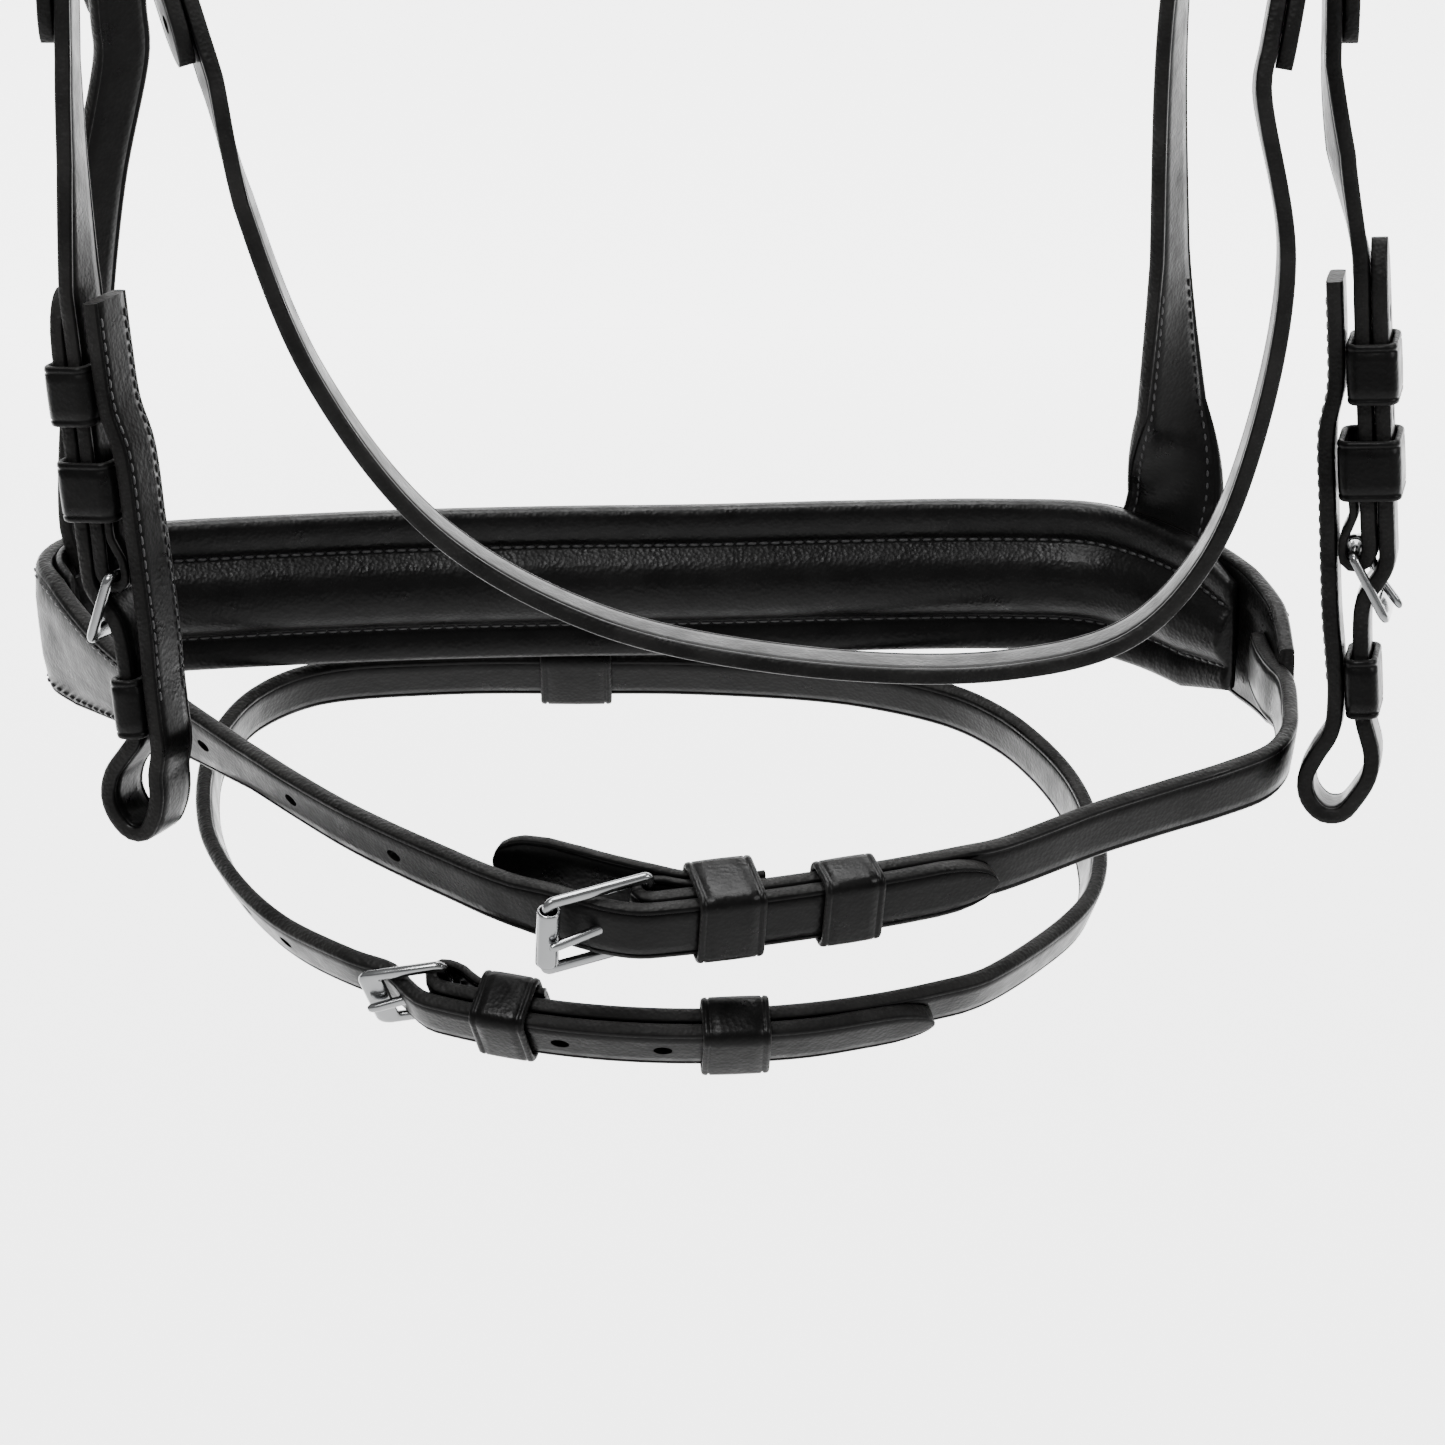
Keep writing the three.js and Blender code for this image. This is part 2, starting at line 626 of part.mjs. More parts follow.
function addBrowband() {
  const half = [[140.3, 8], [140.5, 20], [139, 40], [124, 72], [90, 98], [45, 112], [0, 116]];
  const places = [...half.map(([x, y]) => [-x, y]), ...half.slice(0, -1).reverse()];
  const front = places.map(([x, y]) => stop(vec(x, y, BROWBAND_LEVEL), vec(0, 0, 1), BROWBAND_HEIGHT, 4));
  const pieces = [strap(front, 16)];
  for (const sign of [-1, 1]) {
    const ring = new THREE.Shape();
    const [inner, outer] = [HEADSTRAP_SIDE - 4.2, CROWN_SIDE + 5];
    const wall = 2.2;
    ring.moveTo(inner, -18);
    ring.lineTo(outer, -18);
    ring.lineTo(outer + 2, 19);
    ring.lineTo(inner, 19);
    ring.closePath();
    const window = new THREE.Path();
    window.moveTo(inner + wall, -18 + wall);
    window.lineTo(inner + wall, 19 - wall);
    window.lineTo(outer - wall, 19 - wall);
    window.lineTo(outer - wall, -18 + wall);
    window.closePath();
    ring.holes.push(window);
    const loop = new THREE.ExtrudeGeometry(ring, { depth: BROWBAND_HEIGHT, bevelEnabled: false });
    if (sign < 0) loop.rotateY(Math.PI);
    loop.translate(0, 0, BROWBAND_LEVEL - (sign * BROWBAND_HEIGHT) / 2);
    pieces.push(loop);
  }
  addNode("browband", join(pieces), BLACK);
}

addBrowband();

// ---------------------------------------------------------------- noseband

const noseUp = planeNormal(NOSE_PLANE);

const CHIN = new Joint({
  origin: vec(-10, -80, NOSE_PLANE.level - NOSE_PLANE.slope * 80),
  along: vec(-0.977, -0.21, -0.04),
  up: noseUp,
  outward: vec(0, -1, 0),
  lean: 12,
  radius: 330,
});

const FAR_BAND = [
  [126.5, 22, 0], [125, 36, 0], [120, 51, 0], [112, 65, 0], [101, 77, 0], [88, 85, 0],
  [66, 87, 0], [33, 86, 0],
  [0, 84, 0], [-33, 83, 0], [-66, 81, 0], [-95, 78, 0], [-118, 75, 0], [-132, 71.5, 0], [-140.5, 65, 0],
  [-142.5, 56, 4], [-137.5, 46, 10],
];
const NEAR_BAND = [
  [-127.5, 30, 18], [-117.5, 15, 20], [-107, 1, 20], [-95, -14, 20],
  [-84, -28.5, 20], [-73, -42, 19], [-61.5, -54, 18],
];
const BILLET_TURN = [[-51, -64, 17], [-43, -71.5, 16], [-36, -77, 15]];
const CHIN_ROUTE = [
  [125.5, 17, 4], [125.3, 2, 6], [124, -8, 8], [119.5, -17.5, 10],
  [110, -25.5, 11], [97, -34, 12], [83, -43.5, 12],
];

function addNoseband() {
  // The outer leather wraps the nose and tapers into the chin billet.
  const far = ringStops(FAR_BAND, NOSE_PLANE, BAND_HEIGHT, LEATHER);
  const near = ringStops(NEAR_BAND, NOSE_PLANE, NOSE_WIDTH, LEATHER);
  const taper = [26, 21, 16.5];
  taper.forEach((width, i) => {
    near[i].width = width;
  });
  const turn = ringStops(BILLET_TURN, NOSE_PLANE, NOSE_WIDTH, LEATHER);
  const billet = billetStops(CHIN, NOSE_WIDTH, 72, [[18, -1.4], [12.5, 2.4], [8, 4.9], [3, 6.6]]);
  const band = strap([...far, ...near, ...turn, ...billet], 12);
  addNode("nose_band", cut(band, [tongueHole(CHIN, CHIN_BUCKLE)]), BLACK);

  // The padded lining follows it on the inside.
  const padRoute = FAR_BAND.slice(2);
  const inset = LEATHER / 2 + 2 * GAP;
  const pad = ringStops(padRoute, NOSE_PLANE, NOSE_PAD_HEIGHT, NOSE_PAD_THICK, inset + NOSE_PAD_THICK / 2);
  const last = pad.length - 1;
  const ends = [[0, 5, 26], [last - 3, 6.5, 36], [last - 2, 5, 35], [last - 1, 4, 33], [last, 3.6, 30]];
  for (const [i, thick, height] of ends) {
    pad[i] = ringStops(padRoute, NOSE_PLANE, height, thick, inset + thick / 2)[i];
  }
  addNode("nose_pad", strap(pad, 14), LINING);

  // The chin strap is sewn under the end of the band and carries the roller buckle.
  const free = ringStops(CHIN_ROUTE, NOSE_PLANE, NOSE_WIDTH, LEATHER);
  const chape = chapeStops(CHIN, NOSE_WIDTH, 24, -74).reverse();
  addNode("chin_strap", cut(strap([...free, ...chape], 12), [chapeSlot(CHIN)]), BLACK);

  const tab = [
    [-22, -2.3], [-12, -2.4], [-7.5, -2.6], [-2, -4.9],
    [4, -7.2], [12, -11.5], [20, -16.5], [27, -21],
  ];
  const tabWidths = [13, 13, 13.5, 14.5, 16, 17, 16, 9];
  const tabStops = tab.map(([s, h], i) => CHIN.stop(s, h, tabWidths[i], 2.2));
  addNode("buckle_guard_tab", strap(tabStops), BLACK);

  addBuckle("noseband", CHIN, NOSE_WIDTH, CHIN_BUCKLE);
  addNode("noseband_keeper", keeper(CHIN, -15, NOSE_WIDTH, -3.5, BILLET_TOP, 14), BLACK);
  addNode("noseband_runner", keeper(CHIN, -40, NOSE_WIDTH, MAIN_UNDER, BILLET_TOP, 13), BLACK);
}

addNoseband();

// ---------------------------------------------------------------- noseband headstrap

const HEAD = new Joint({
  origin: vec(-124, 38, -268),
  along: vec(-0.04, -0.28, 0.96),
  up: vec(0.86, 0.5, 0.17),
  outward: vec(-0.5, 1, 0),
});
const HANGER_END = -421.5;

function addHeadstrap() {
  const over = archStops(HEADSTRAP_LEVEL, [9, 8, 7, 4, ...LEVEL.slice(4)], CHEEK_WIDTH, LEATHER);
  addNode("headstrap", strap(over, 14), BLACK);

  const right = [
    stop(vec(HEADSTRAP_SIDE, 9, FLEX_LEVEL - SIDE_FLEX), vec(0, 1, 0), CHEEK_WIDTH),
    stop(vec(122, 17, -200), vec(0.1, 1, 0), CHEEK_WIDTH),
    stop(vec(109, 30, -245), vec(0.2, 1, 0), CHEEK_WIDTH),
    stop(vec(101.5, 42, -298), vec(0.33, 0.94, 0), CHEEK_WIDTH),
    stop(vec(102, 56, -360), vec(0.5, 0.85, 0), CHEEK_WIDTH),
    stop(vec(105, 71, HANGER_END + 1.5), vec(0.9, -0.3, 0), CHEEK_WIDTH),
  ];
  addNode("hanger_right", strap(right, 14), BLACK);

  const crownTail = [
    stop(vec(-HEADSTRAP_SIDE, 9, FLEX_LEVEL - SIDE_FLEX), vec(0, 1, 0), CHEEK_WIDTH),
    stop(vec(-127, 17, -200), vec(0.25, 0.95, 0), CHEEK_WIDTH),
    stop(vec(-125, 26, -226), vec(0.6, 0.75, 0.1), CHEEK_WIDTH),
  ];
  const billet = [...crownTail, ...billetStops(HEAD, CHEEK_WIDTH, 46, underFrontBar(HEAD_BUCKLE))];
  addNode("headstrap_billet", cut(strap(billet), [tongueHole(HEAD, HEAD_BUCKLE)]), BLACK);

  const hanger = [
    ...chapeStops(HEAD, CHEEK_WIDTH, 22, -50),
    stop(vec(-130, 57, -345), vec(0.75, 0.6, 0), CHEEK_WIDTH),
    stop(vec(-134, 59, -385), vec(0.6, 0.8, 0), CHEEK_WIDTH),
    stop(vec(-136, 60, HANGER_END), vec(0.5, 0.85, 0), CHEEK_WIDTH),
  ];
  addNode("hanger_left", cut(strap(hanger, 14), [chapeSlot(HEAD)]), BLACK);
  addBuckle("headstrap", HEAD, CHEEK_WIDTH, HEAD_BUCKLE);
  addNode("headstrap_keeper", keeper(HEAD, -13, CHEEK_WIDTH, RETURN_UNDER, BILLET_TOP, 11), BLACK);
}

addHeadstrap();

// ---------------------------------------------------------------- flash strap

const FLASH = new Joint({
  origin: vec(-51, -57, FLASH_PLANE.level - FLASH_PLANE.slope * 57 + 2.5),
  along: vec(-0.9, 0.44, 0.08),
  up: planeNormal(FLASH_PLANE),
  outward: vec(0, -1, 0),
  lean: 30,
  radius: 112,
});
const FLASH_ROUTE = [
  [-84, -33, 30], [-92, -21.5, 30], [-99.5, -6, 28], [-104, 8, 22],
  [-107, 30, 8], [-106, 52, -4], [-99, 72, -14],
  [-86, 84, -20], [-58, 89, -22], [-28, 89.5, -22], [0, 89, -22], [33, 84, -22], [55, 74, -18], [66, 63, -12],
  [74, 49, -6], [80.5, 31, 2], [83.5, 12, 10], [84, -6, 16], [81, -21, 22], [74, -34, 26],
];

function addFlash() {
  // One strap: its point, the keepers, the buckle, round the muzzle, and the fold on the heel bar.
  const billet = billetStops(FLASH, FLASH_WIDTH, 100, underFrontBar(FLASH_BUCKLE)).reverse();
  const ring = ringStops(FLASH_ROUTE, FLASH_PLANE, FLASH_WIDTH, LEATHER);
  const chape = chapeStops(FLASH, FLASH_WIDTH, 22, -112).reverse();
  const body = strap([...billet, ...ring, ...chape], 13);
  addNode("flash_strap", cut(body, [chapeSlot(FLASH), tongueHole(FLASH, FLASH_BUCKLE)]), BLACK);

  addBuckle("flash", FLASH, FLASH_WIDTH, FLASH_BUCKLE);
  addNode("flash_keeper", keeper(FLASH, -14.5, FLASH_WIDTH, RETURN_UNDER, BILLET_TOP, 12), BLACK);
  addNode("flash_runner", keeper(FLASH, -60, FLASH_WIDTH, MAIN_UNDER - RUNNER_PLAY, BILLET_TOP + RUNNER_PLAY, 14), BLACK);

  // The loop below the nose pad that the strap runs through.
  const centre = ringStops(FLASH_ROUTE.slice(8, 11), FLASH_PLANE, FLASH_WIDTH, LEATHER)[1];
  const along = vec(1, 0, 0);
  const outward = along.clone().cross(centre.w).normalize().negate();
  const frame = { position: centre.p, along, width: centre.w, outward };
  const hole = { frame: () => frame };
  addNode("flash_loop", keeper(hole, 0, FLASH_WIDTH + 1, -LEATHER / 2, LEATHER / 2, 16), BLACK);
}

addFlash();

export default bridle;
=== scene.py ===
# The looks of a black snaffle bridle: straps, padded lining, keepers, stitching and steel buckles.
import math

import bmesh
import bpy
import numpy as np
from mathutils import Matrix, Vector


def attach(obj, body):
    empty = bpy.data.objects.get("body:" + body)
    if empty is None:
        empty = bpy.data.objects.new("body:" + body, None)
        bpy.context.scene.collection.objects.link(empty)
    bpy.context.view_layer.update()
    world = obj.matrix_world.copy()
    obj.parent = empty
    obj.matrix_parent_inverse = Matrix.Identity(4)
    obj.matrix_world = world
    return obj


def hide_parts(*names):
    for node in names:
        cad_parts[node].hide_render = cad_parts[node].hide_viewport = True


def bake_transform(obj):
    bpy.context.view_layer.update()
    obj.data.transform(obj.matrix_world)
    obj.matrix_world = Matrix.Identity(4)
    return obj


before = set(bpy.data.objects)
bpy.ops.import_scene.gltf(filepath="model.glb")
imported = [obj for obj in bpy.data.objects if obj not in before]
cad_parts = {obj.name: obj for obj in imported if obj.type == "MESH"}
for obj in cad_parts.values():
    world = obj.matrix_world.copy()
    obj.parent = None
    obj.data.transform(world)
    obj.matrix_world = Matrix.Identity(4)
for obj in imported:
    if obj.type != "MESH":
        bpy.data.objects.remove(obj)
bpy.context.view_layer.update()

# -------- sizes, in millimetres

MM = 0.001
LEATHER = 3.4
SKIVED = 1.8
GAP = 0.3
CHEEK_WIDTH = 13
NOSE_WIDTH = 13
FLASH_WIDTH = 12
THROAT_WIDTH = 11
CROWN_WIDTH = 30
BAND_HEIGHT = 32
NOSE_PAD_HEIGHT = 36
NOSE_PAD_THICK = 9
POLL_PAD_THICK = 12
POLL_PAD_WIDTH = 50
BROWBAND_HEIGHT = 16
BAR = 1.0
SIDE_BAR = 2.4
FRAME_PLAY = 0.8
TONGUE_HALF = 0.9
KEEPER_WALL = 1.5
KEEPER_PLAY = 0.4
RUNNER_PLAY = 0.4

FOLD = BAR * math.sqrt(2) + 0.1
MAIN = FOLD + LEATHER / 2
BILLET = FOLD + LEATHER + GAP + LEATHER / 2
RETURN = FOLD - GAP - SKIVED / 2
BASE = -(FOLD + SKIVED + GAP + LEATHER / 2)
BILLET_TOP = BILLET + LEATHER / 2
MAIN_UNDER = MAIN - LEATHER / 2
RETURN_UNDER = RETURN - GAP - SKIVED / 2
LOWER_KEEPER = 0.8

ARCH_SIDE = 117
HEADSTRAP_LEVEL = POLL_PAD_THICK + GAP + LEATHER / 2
CROWN_LEVEL = HEADSTRAP_LEVEL + LEATHER + 1.2
CROWN_SIDE = ARCH_SIDE + CROWN_LEVEL
HEADSTRAP_SIDE = ARCH_SIDE + HEADSTRAP_LEVEL
FLEX_LEVEL = -172.5
BROWBAND_LEVEL = -150

NOSE_PLANE = {"level": -452.9, "slope": 0.169}
FLASH_PLANE = {"level": -481.7, "slope": 0.1975}

STITCH_PITCH = 2.6
HOLE_LONG, HOLE_WIDE = 2.0, 1.4  # half the length and width of a punched hole
HOLE_DEPTH = 3.2
HOLE_SIDES = 16
FINE_STEP = 2.6  # between the rings of a strap's mesh
TIGHT_STEP = 1.8  # the same where it turns the bit loop
POLL_PAD_STEP = 3
NOSE_PAD_STEP = 2.2
STOP_SPACING = 12  # between a route's stops on a straight stretch
FOLD_TURN = 36  # degrees between the stops of a fold
STITCH_LENGTH, STITCH_GIRTH = 1.9, 0.3
PAD_STITCH_LENGTH, PAD_STITCH_GIRTH = 2.1, 0.42
KEEPER_CORNER = 2.1
BAR_ROUNDING = 0.75  # 1 is an ellipse, and smaller is squarer
TONGUE_CURL, CURL_HALF = 2.25, 0.5  # the radius of its turn, and its half thickness there
TONGUE_WIDE, TONGUE_TAPER, TAPER_START = 1.2, 0.25, 5
LOOP_WALL, LOOP_REAR, LOOP_FORE = 2.2, 18.6, 19  # the browband's loops
GUARD_TAB_THICK = 2.2


def vec(x, y, z):
    return np.array([x, y, z], float)


def unit(v):
    return v / np.linalg.norm(v)


def mix(a, b, f):
    return a + (b - a) * f


# -------- materials

PEBBLES, CREASES, DENTS, WRINKLES = 1100, 420, 46, 430  # the scales of the leather's relief
WORN_PATCHES, GLOSS_PATCHES = 60, 150
GLOW = {"From Min": 0.0, "From Max": 2.2, "To Min": 0.3, "To Max": 3.0}  # metres back, then strength


def material(name, colour, roughness, metallic=0.0):
    made = bpy.data.materials.new(name)
    made.use_nodes = True
    shader = made.node_tree.nodes["Principled BSDF"]
    shader.inputs["Base Color"].default_value = (*colour, 1)
    shader.inputs["Roughness"].default_value = roughness
    shader.inputs["Metallic"].default_value = metallic
    return made, made.node_tree, shader


def noise(tree, coordinates, scale, detail=4.0, roughness=0.55):
    node = tree.nodes.new("ShaderNodeTexNoise")
    node.inputs["Scale"].default_value = scale
    node.inputs["Detail"].default_value = detail
    node.inputs["Roughness"].default_value = roughness
    tree.links.new(coordinates, node.inputs["Vector"])
    return node.outputs["Fac"]


def ramp(tree, value, low, high):
    """value, from low to high, as a colour ramp between two greys or colours."""
    node = tree.nodes.new("ShaderNodeValToRGB")
    node.color_ramp.elements[0].position, first = low
    node.color_ramp.elements[1].position, last = high
    node.color_ramp.elements[0].color = (*first, 1)
    node.color_ramp.elements[1].color = (*last, 1)
    tree.links.new(value, node.inputs["Fac"])
    return node.outputs["Color"]


def grey(value):
    return (value, value, value)


def bump(tree, height, strength, distance, below=None):
    node = tree.nodes.new("ShaderNodeBump")
    node.inputs["Strength"].default_value = strength
    node.inputs["Distance"].default_value = distance
    tree.links.new(height, node.inputs["Height"])
    if below is not None:
        tree.links.new(below, node.inputs["Normal"])
    return node.outputs["Normal"]


def leather(name, colour, worn, roughness, grain, specular, wrinkle=0.0):
    """Dyed leather: pebbled grain, patches of worn finish, and wrinkles across a bent strap."""
    made, tree, shader = material(name, colour, roughness)
    place = tree.nodes.new("ShaderNodeTexCoord")
    at = place.outputs["Object"]
    cells = tree.nodes.new("ShaderNodeTexVoronoi")
    cells.inputs["Scale"].default_value = PEBBLES
    tree.links.new(at, cells.inputs["Vector"])
    normal = bump(tree, cells.outputs["Distance"], grain, 0.00016)
    normal = bump(tree, noise(tree, at, CREASES, 6), grain * 0.8, 0.00022, normal)
    normal = bump(tree, noise(tree, at, DENTS, 3), 0.35, 0.0011, normal)
    if wrinkle:
        stretched = tree.nodes.new("ShaderNodeMapping")
        stretched.inputs["Scale"].default_value = (0.12, 1.0, 1.0)
        tree.links.new(place.outputs["UV"], stretched.inputs["Vector"])
        lines = noise(tree, stretched.outputs["Vector"], WRINKLES, 3, 0.6)
        normal = bump(tree, lines, wrinkle, 0.0006, normal)
    tree.links.new(normal, shader.inputs["Normal"])
    patches = noise(tree, at, WORN_PATCHES, 5)
    tint = ramp(tree, patches, (0.38, colour), (0.72, worn))
    tree.links.new(tint, shader.inputs["Base Color"])
    smooth, dull = (0.3, grey(roughness - 0.09)), (0.75, grey(roughness + 0.13))
    gloss = ramp(tree, noise(tree, at, GLOSS_PATCHES, 4), smooth, dull)
    tree.links.new(gloss, shader.inputs["Roughness"])
    shader.inputs["Specular IOR Level"].default_value = specular
    return made


def thread(name):
    made, tree, shader = material(name, (0.02, 0.02, 0.021), 0.5)
    place = tree.nodes.new("ShaderNodeTexCoord")
    normal = bump(tree, noise(tree, place.outputs["Object"], 2600, 2), 0.4, 0.0001)
    tree.links.new(normal, shader.inputs["Normal"])
    shader.inputs["Specular IOR Level"].default_value = 0.7
    return made


def steel(name):
    """Polished stainless steel with faint polishing marks."""
    made, tree, shader = material(name, (0.34, 0.345, 0.35), 0.16, 1.0)
    place = tree.nodes.new("ShaderNodeTexCoord")
    at = place.outputs["Object"]
    gloss = ramp(tree, noise(tree, at, 240, 5), (0.3, grey(0.1)), (0.8, grey(0.28)))
    tree.links.new(gloss, shader.inputs["Roughness"])
    normal = bump(tree, noise(tree, at, 700, 3), 0.12, 0.0001)
    tree.links.new(normal, shader.inputs["Normal"])
    return made


def studio(name):
    """Pale paper that glows more and more towards the back."""
    made, tree, shader = material(name, (0.85, 0.85, 0.85), 0.9)
    place = tree.nodes.new("ShaderNodeTexCoord")
    split = tree.nodes.new("ShaderNodeSeparateXYZ")
    tree.links.new(place.outputs["Object"], split.inputs[0])
    glow = tree.nodes.new("ShaderNodeMapRange")
    glow.interpolation_type = "SMOOTHSTEP"
    for key, value in GLOW.items():
        glow.inputs[key].default_value = value
    tree.links.new(split.outputs["Y"], glow.inputs["Value"])
    tree.links.new(glow.outputs["Result"], shader.inputs["Emission Strength"])
    shader.inputs["Emission Color"].default_value = (1, 1, 1, 1)
    return made


STRAP = leather("strap_leather", (0.0016, 0.0015, 0.0015), (0.0042, 0.0041, 0.004), 0.34, 0.3, 0.16)
EDGE = leather("strap_edge", (0.0045, 0.0044, 0.0042), (0.017, 0.0165, 0.016), 0.55, 1.0, 0.16)
PADDING = leather("lining_leather", (0.0018, 0.0017, 0.0017), (0.0045, 0.0044, 0.0043), 0.36, 0.5, 0.17, 0.07)
THREAD = thread("waxed_thread")
STEEL = steel("polished_steel")

# -------- strap routes


def stop(p, w, width, thick=LEATHER):
    return {"p": np.array(p, float), "w": np.array(w, float), "width": width, "thick": thick}


def stops_at(points, w, width, thick=LEATHER):
    return [stop(p, w, width, thick) for p in points]


def curve_point(points, t):
    """A place on the centripetal spline through the points; t counts the points."""
    last = len(points) - 1
    i = min(int(t), last - 1)
    f = t - i
    a, b = points[i], points[i + 1]
    before = points[i - 1] if i > 0 else 2 * points[0] - points[1]
    after = points[i + 2] if i + 2 <= last else 2 * points[last] - points[last - 1]
    near = max(np.linalg.norm(b - a) ** 0.5, 1e-4)
    first = max(np.linalg.norm(a - before) ** 0.5, 1e-4)
    third = max(np.linalg.norm(after - b) ** 0.5, 1e-4)
    leave = ((a - before) / first - (b - before) / (first + near) + (b - a) / near) * near
    reach = ((b - a) / near - (after - a) / (near + third) + (after - b) / third) * near
    square = -3 * a + 3 * b - 2 * leave - reach
    cube = 2 * a - 2 * b + leave + reach
    return a + leave * f + square * f**2 + cube * f**3


def sample_route(route, step):
    points = [s["p"] for s in route]
    samples = []
    for i in range(len(route) - 1):
        a, b = route[i], route[i + 1]
        count = max(1, math.ceil(np.linalg.norm(a["p"] - b["p"]) / step))
        for k in range(count):
            f = k / count
            samples.append({
                "p": curve_point(points, i + f),
                "w": mix(a["w"], b["w"], f),
                "width": mix(a["width"], b["width"], f),
                "thick": mix(a["thick"], b["thick"], f),
            })
    samples.append(dict(route[-1]))
    for i, sample in enumerate(samples):
        tangent = unit(samples[min(i + 1, len(samples) - 1)]["p"] - samples[max(i - 1, 0)]["p"])
        across = unit(sample["w"] - tangent * (sample["w"] @ tangent))
        sample["tangent"], sample["across"], sample["normal"] = tangent, across, np.cross(across, tangent)
    return samples


def pointed(route, full):
    """Narrows the last stops of a route to a rounded point."""
    end, before = route[-1], route[-2]
    direction = unit(end["p"] - before["p"])
    base = stop(end["p"] - direction * full, end["w"], end["width"], end["thick"])
    tip = []
    for f in (0.35, 0.6, 0.8, 0.92, 0.98, 1):
        width = max(full * math.sqrt(1 - f * f), 1.6)
        tip.append(stop(end["p"] + direction * (f - 1) * full, end["w"], width, end["thick"]))
    return [*route[:-1], base, *tip]


def plane_normal(plane):
    return unit(vec(0, -plane["slope"], 1))


def ring_stops(points, plane, width, thick, inset=0.0):
    """Stops on a ring, from plan points (x, y, lean). lean, in degrees, tips the upper edge outwards."""
    up = plane_normal(plane)
    places = [vec(x, y, plane["level"] + plane["slope"] * y) for x, y, _ in points]
    stops = []
    for i, place in enumerate(places):
        out = unit(np.cross(places[min(i + 1, len(places) - 1)] - places[max(i - 1, 0)], up))
        if out @ vec(place[0], place[1], 0) < 0:
            out = -out
        tip = math.radians(points[i][2])
        w = up * math.cos(tip) + out * math.sin(tip)
        normal = out * math.cos(tip) - up * math.sin(tip)
        stops.append(stop(place - normal * inset, w, width, thick))
    return stops


class Joint:
    """A buckled joint's place. s runs along the strap from the heel bar, towards the front bar."""

    def __init__(self, origin, along, up, outward, lean=0, radius=None):
        self.origin = vec(*origin)
        self.up = unit(vec(*up))
        self.along = vec(*along)
        self.along = unit(self.along - self.up * (self.along @ self.up))
        self.out = unit(np.cross(self.along, self.up))
        if self.out @ vec(*outward) < 0:
            self.out = -self.out
        self.lean = math.radians(lean)
        self.radius = radius

    def frame(self, s):
        angle = s / self.radius if self.radius and s < 0 else 0
        along = self.along * math.cos(angle) - self.out * math.sin(angle)
        out = self.out * math.cos(angle) + self.along * math.sin(angle)
        if angle == 0:
            position = self.origin + self.along * s
        else:
            position = self.origin + self.along * self.radius * math.sin(angle)
            position = position + self.out * self.radius * (math.cos(angle) - 1)
        width = self.up * math.cos(self.lean) + out * math.sin(self.lean)
        outward = out * math.cos(self.lean) - self.up * math.sin(self.lean)
        return {"position": position, "along": along, "width": width, "outward": outward}

    def stop(self, s, h, width, thick=LEATHER):
        at = self.frame(s)
        return stop(at["position"] + at["outward"] * h, at["width"], width, thick)


def chape_stops(joint, width, tail, start):
    """The strap end that folds round the heel bar, from its skived end to far behind the bar."""
    turned = [
        joint.stop(-tail, RETURN - GAP, width, SKIVED),
        joint.stop(-7.5, RETURN - GAP, width, SKIVED),
        joint.stop(-3.5, -(FOLD + SKIVED / 2) + 0.5, width, SKIVED),
    ]
    for degrees in range(180, -1, -FOLD_TURN):
        thick = mix(LEATHER, SKIVED, degrees / 180)
        radius = FOLD + thick / 2
        angle = math.radians(degrees)
        turned.append(joint.stop(radius * math.sin(angle), radius * math.cos(angle), width, thick))
    s = -6
    while s > start:
        turned.append(joint.stop(s, MAIN, width))
        s -= STOP_SPACING
    turned.append(joint.stop(start, MAIN, width))
    return turned


def under_front_bar(buckle):
    """Where a billet passes under the front bar and climbs over the fold."""
    angle = math.radians(buckle["tilt"])
    inner = buckle["length"] - BAR
    s = inner * math.cos(angle)
    h = inner * math.sin(angle) - BAR * math.cos(angle) - GAP - LEATHER / 2 - 0.2
    top = BILLET - 0.3
    return [(s + 9, h - 0.8), (s, h), ((s + 3) / 2, (h + top) / 2 + 0.2), (3, top)]


def billet_stops(joint, width, tip, front):
    """A strap that dips under the front bar and lies on the strap behind the heel bar, to its point."""
    stops = [joint.stop(s, h, width) for s, h in front]
    s = -3
    while s > 14 - tip:
        stops.append(joint.stop(s, BILLET, width))
        s -= STOP_SPACING
    stops.append(joint.stop(-tip, BILLET, width))
    return pointed(stops, width)


# -------- mesh makers


def hole_at(joint, s, height=BILLET):
    """Where a punch goes through a strap on a joint: its centre and the directions along and across."""
    at = joint.frame(s)
    return at["position"] + at["outward"] * height, at["along"], at["width"]


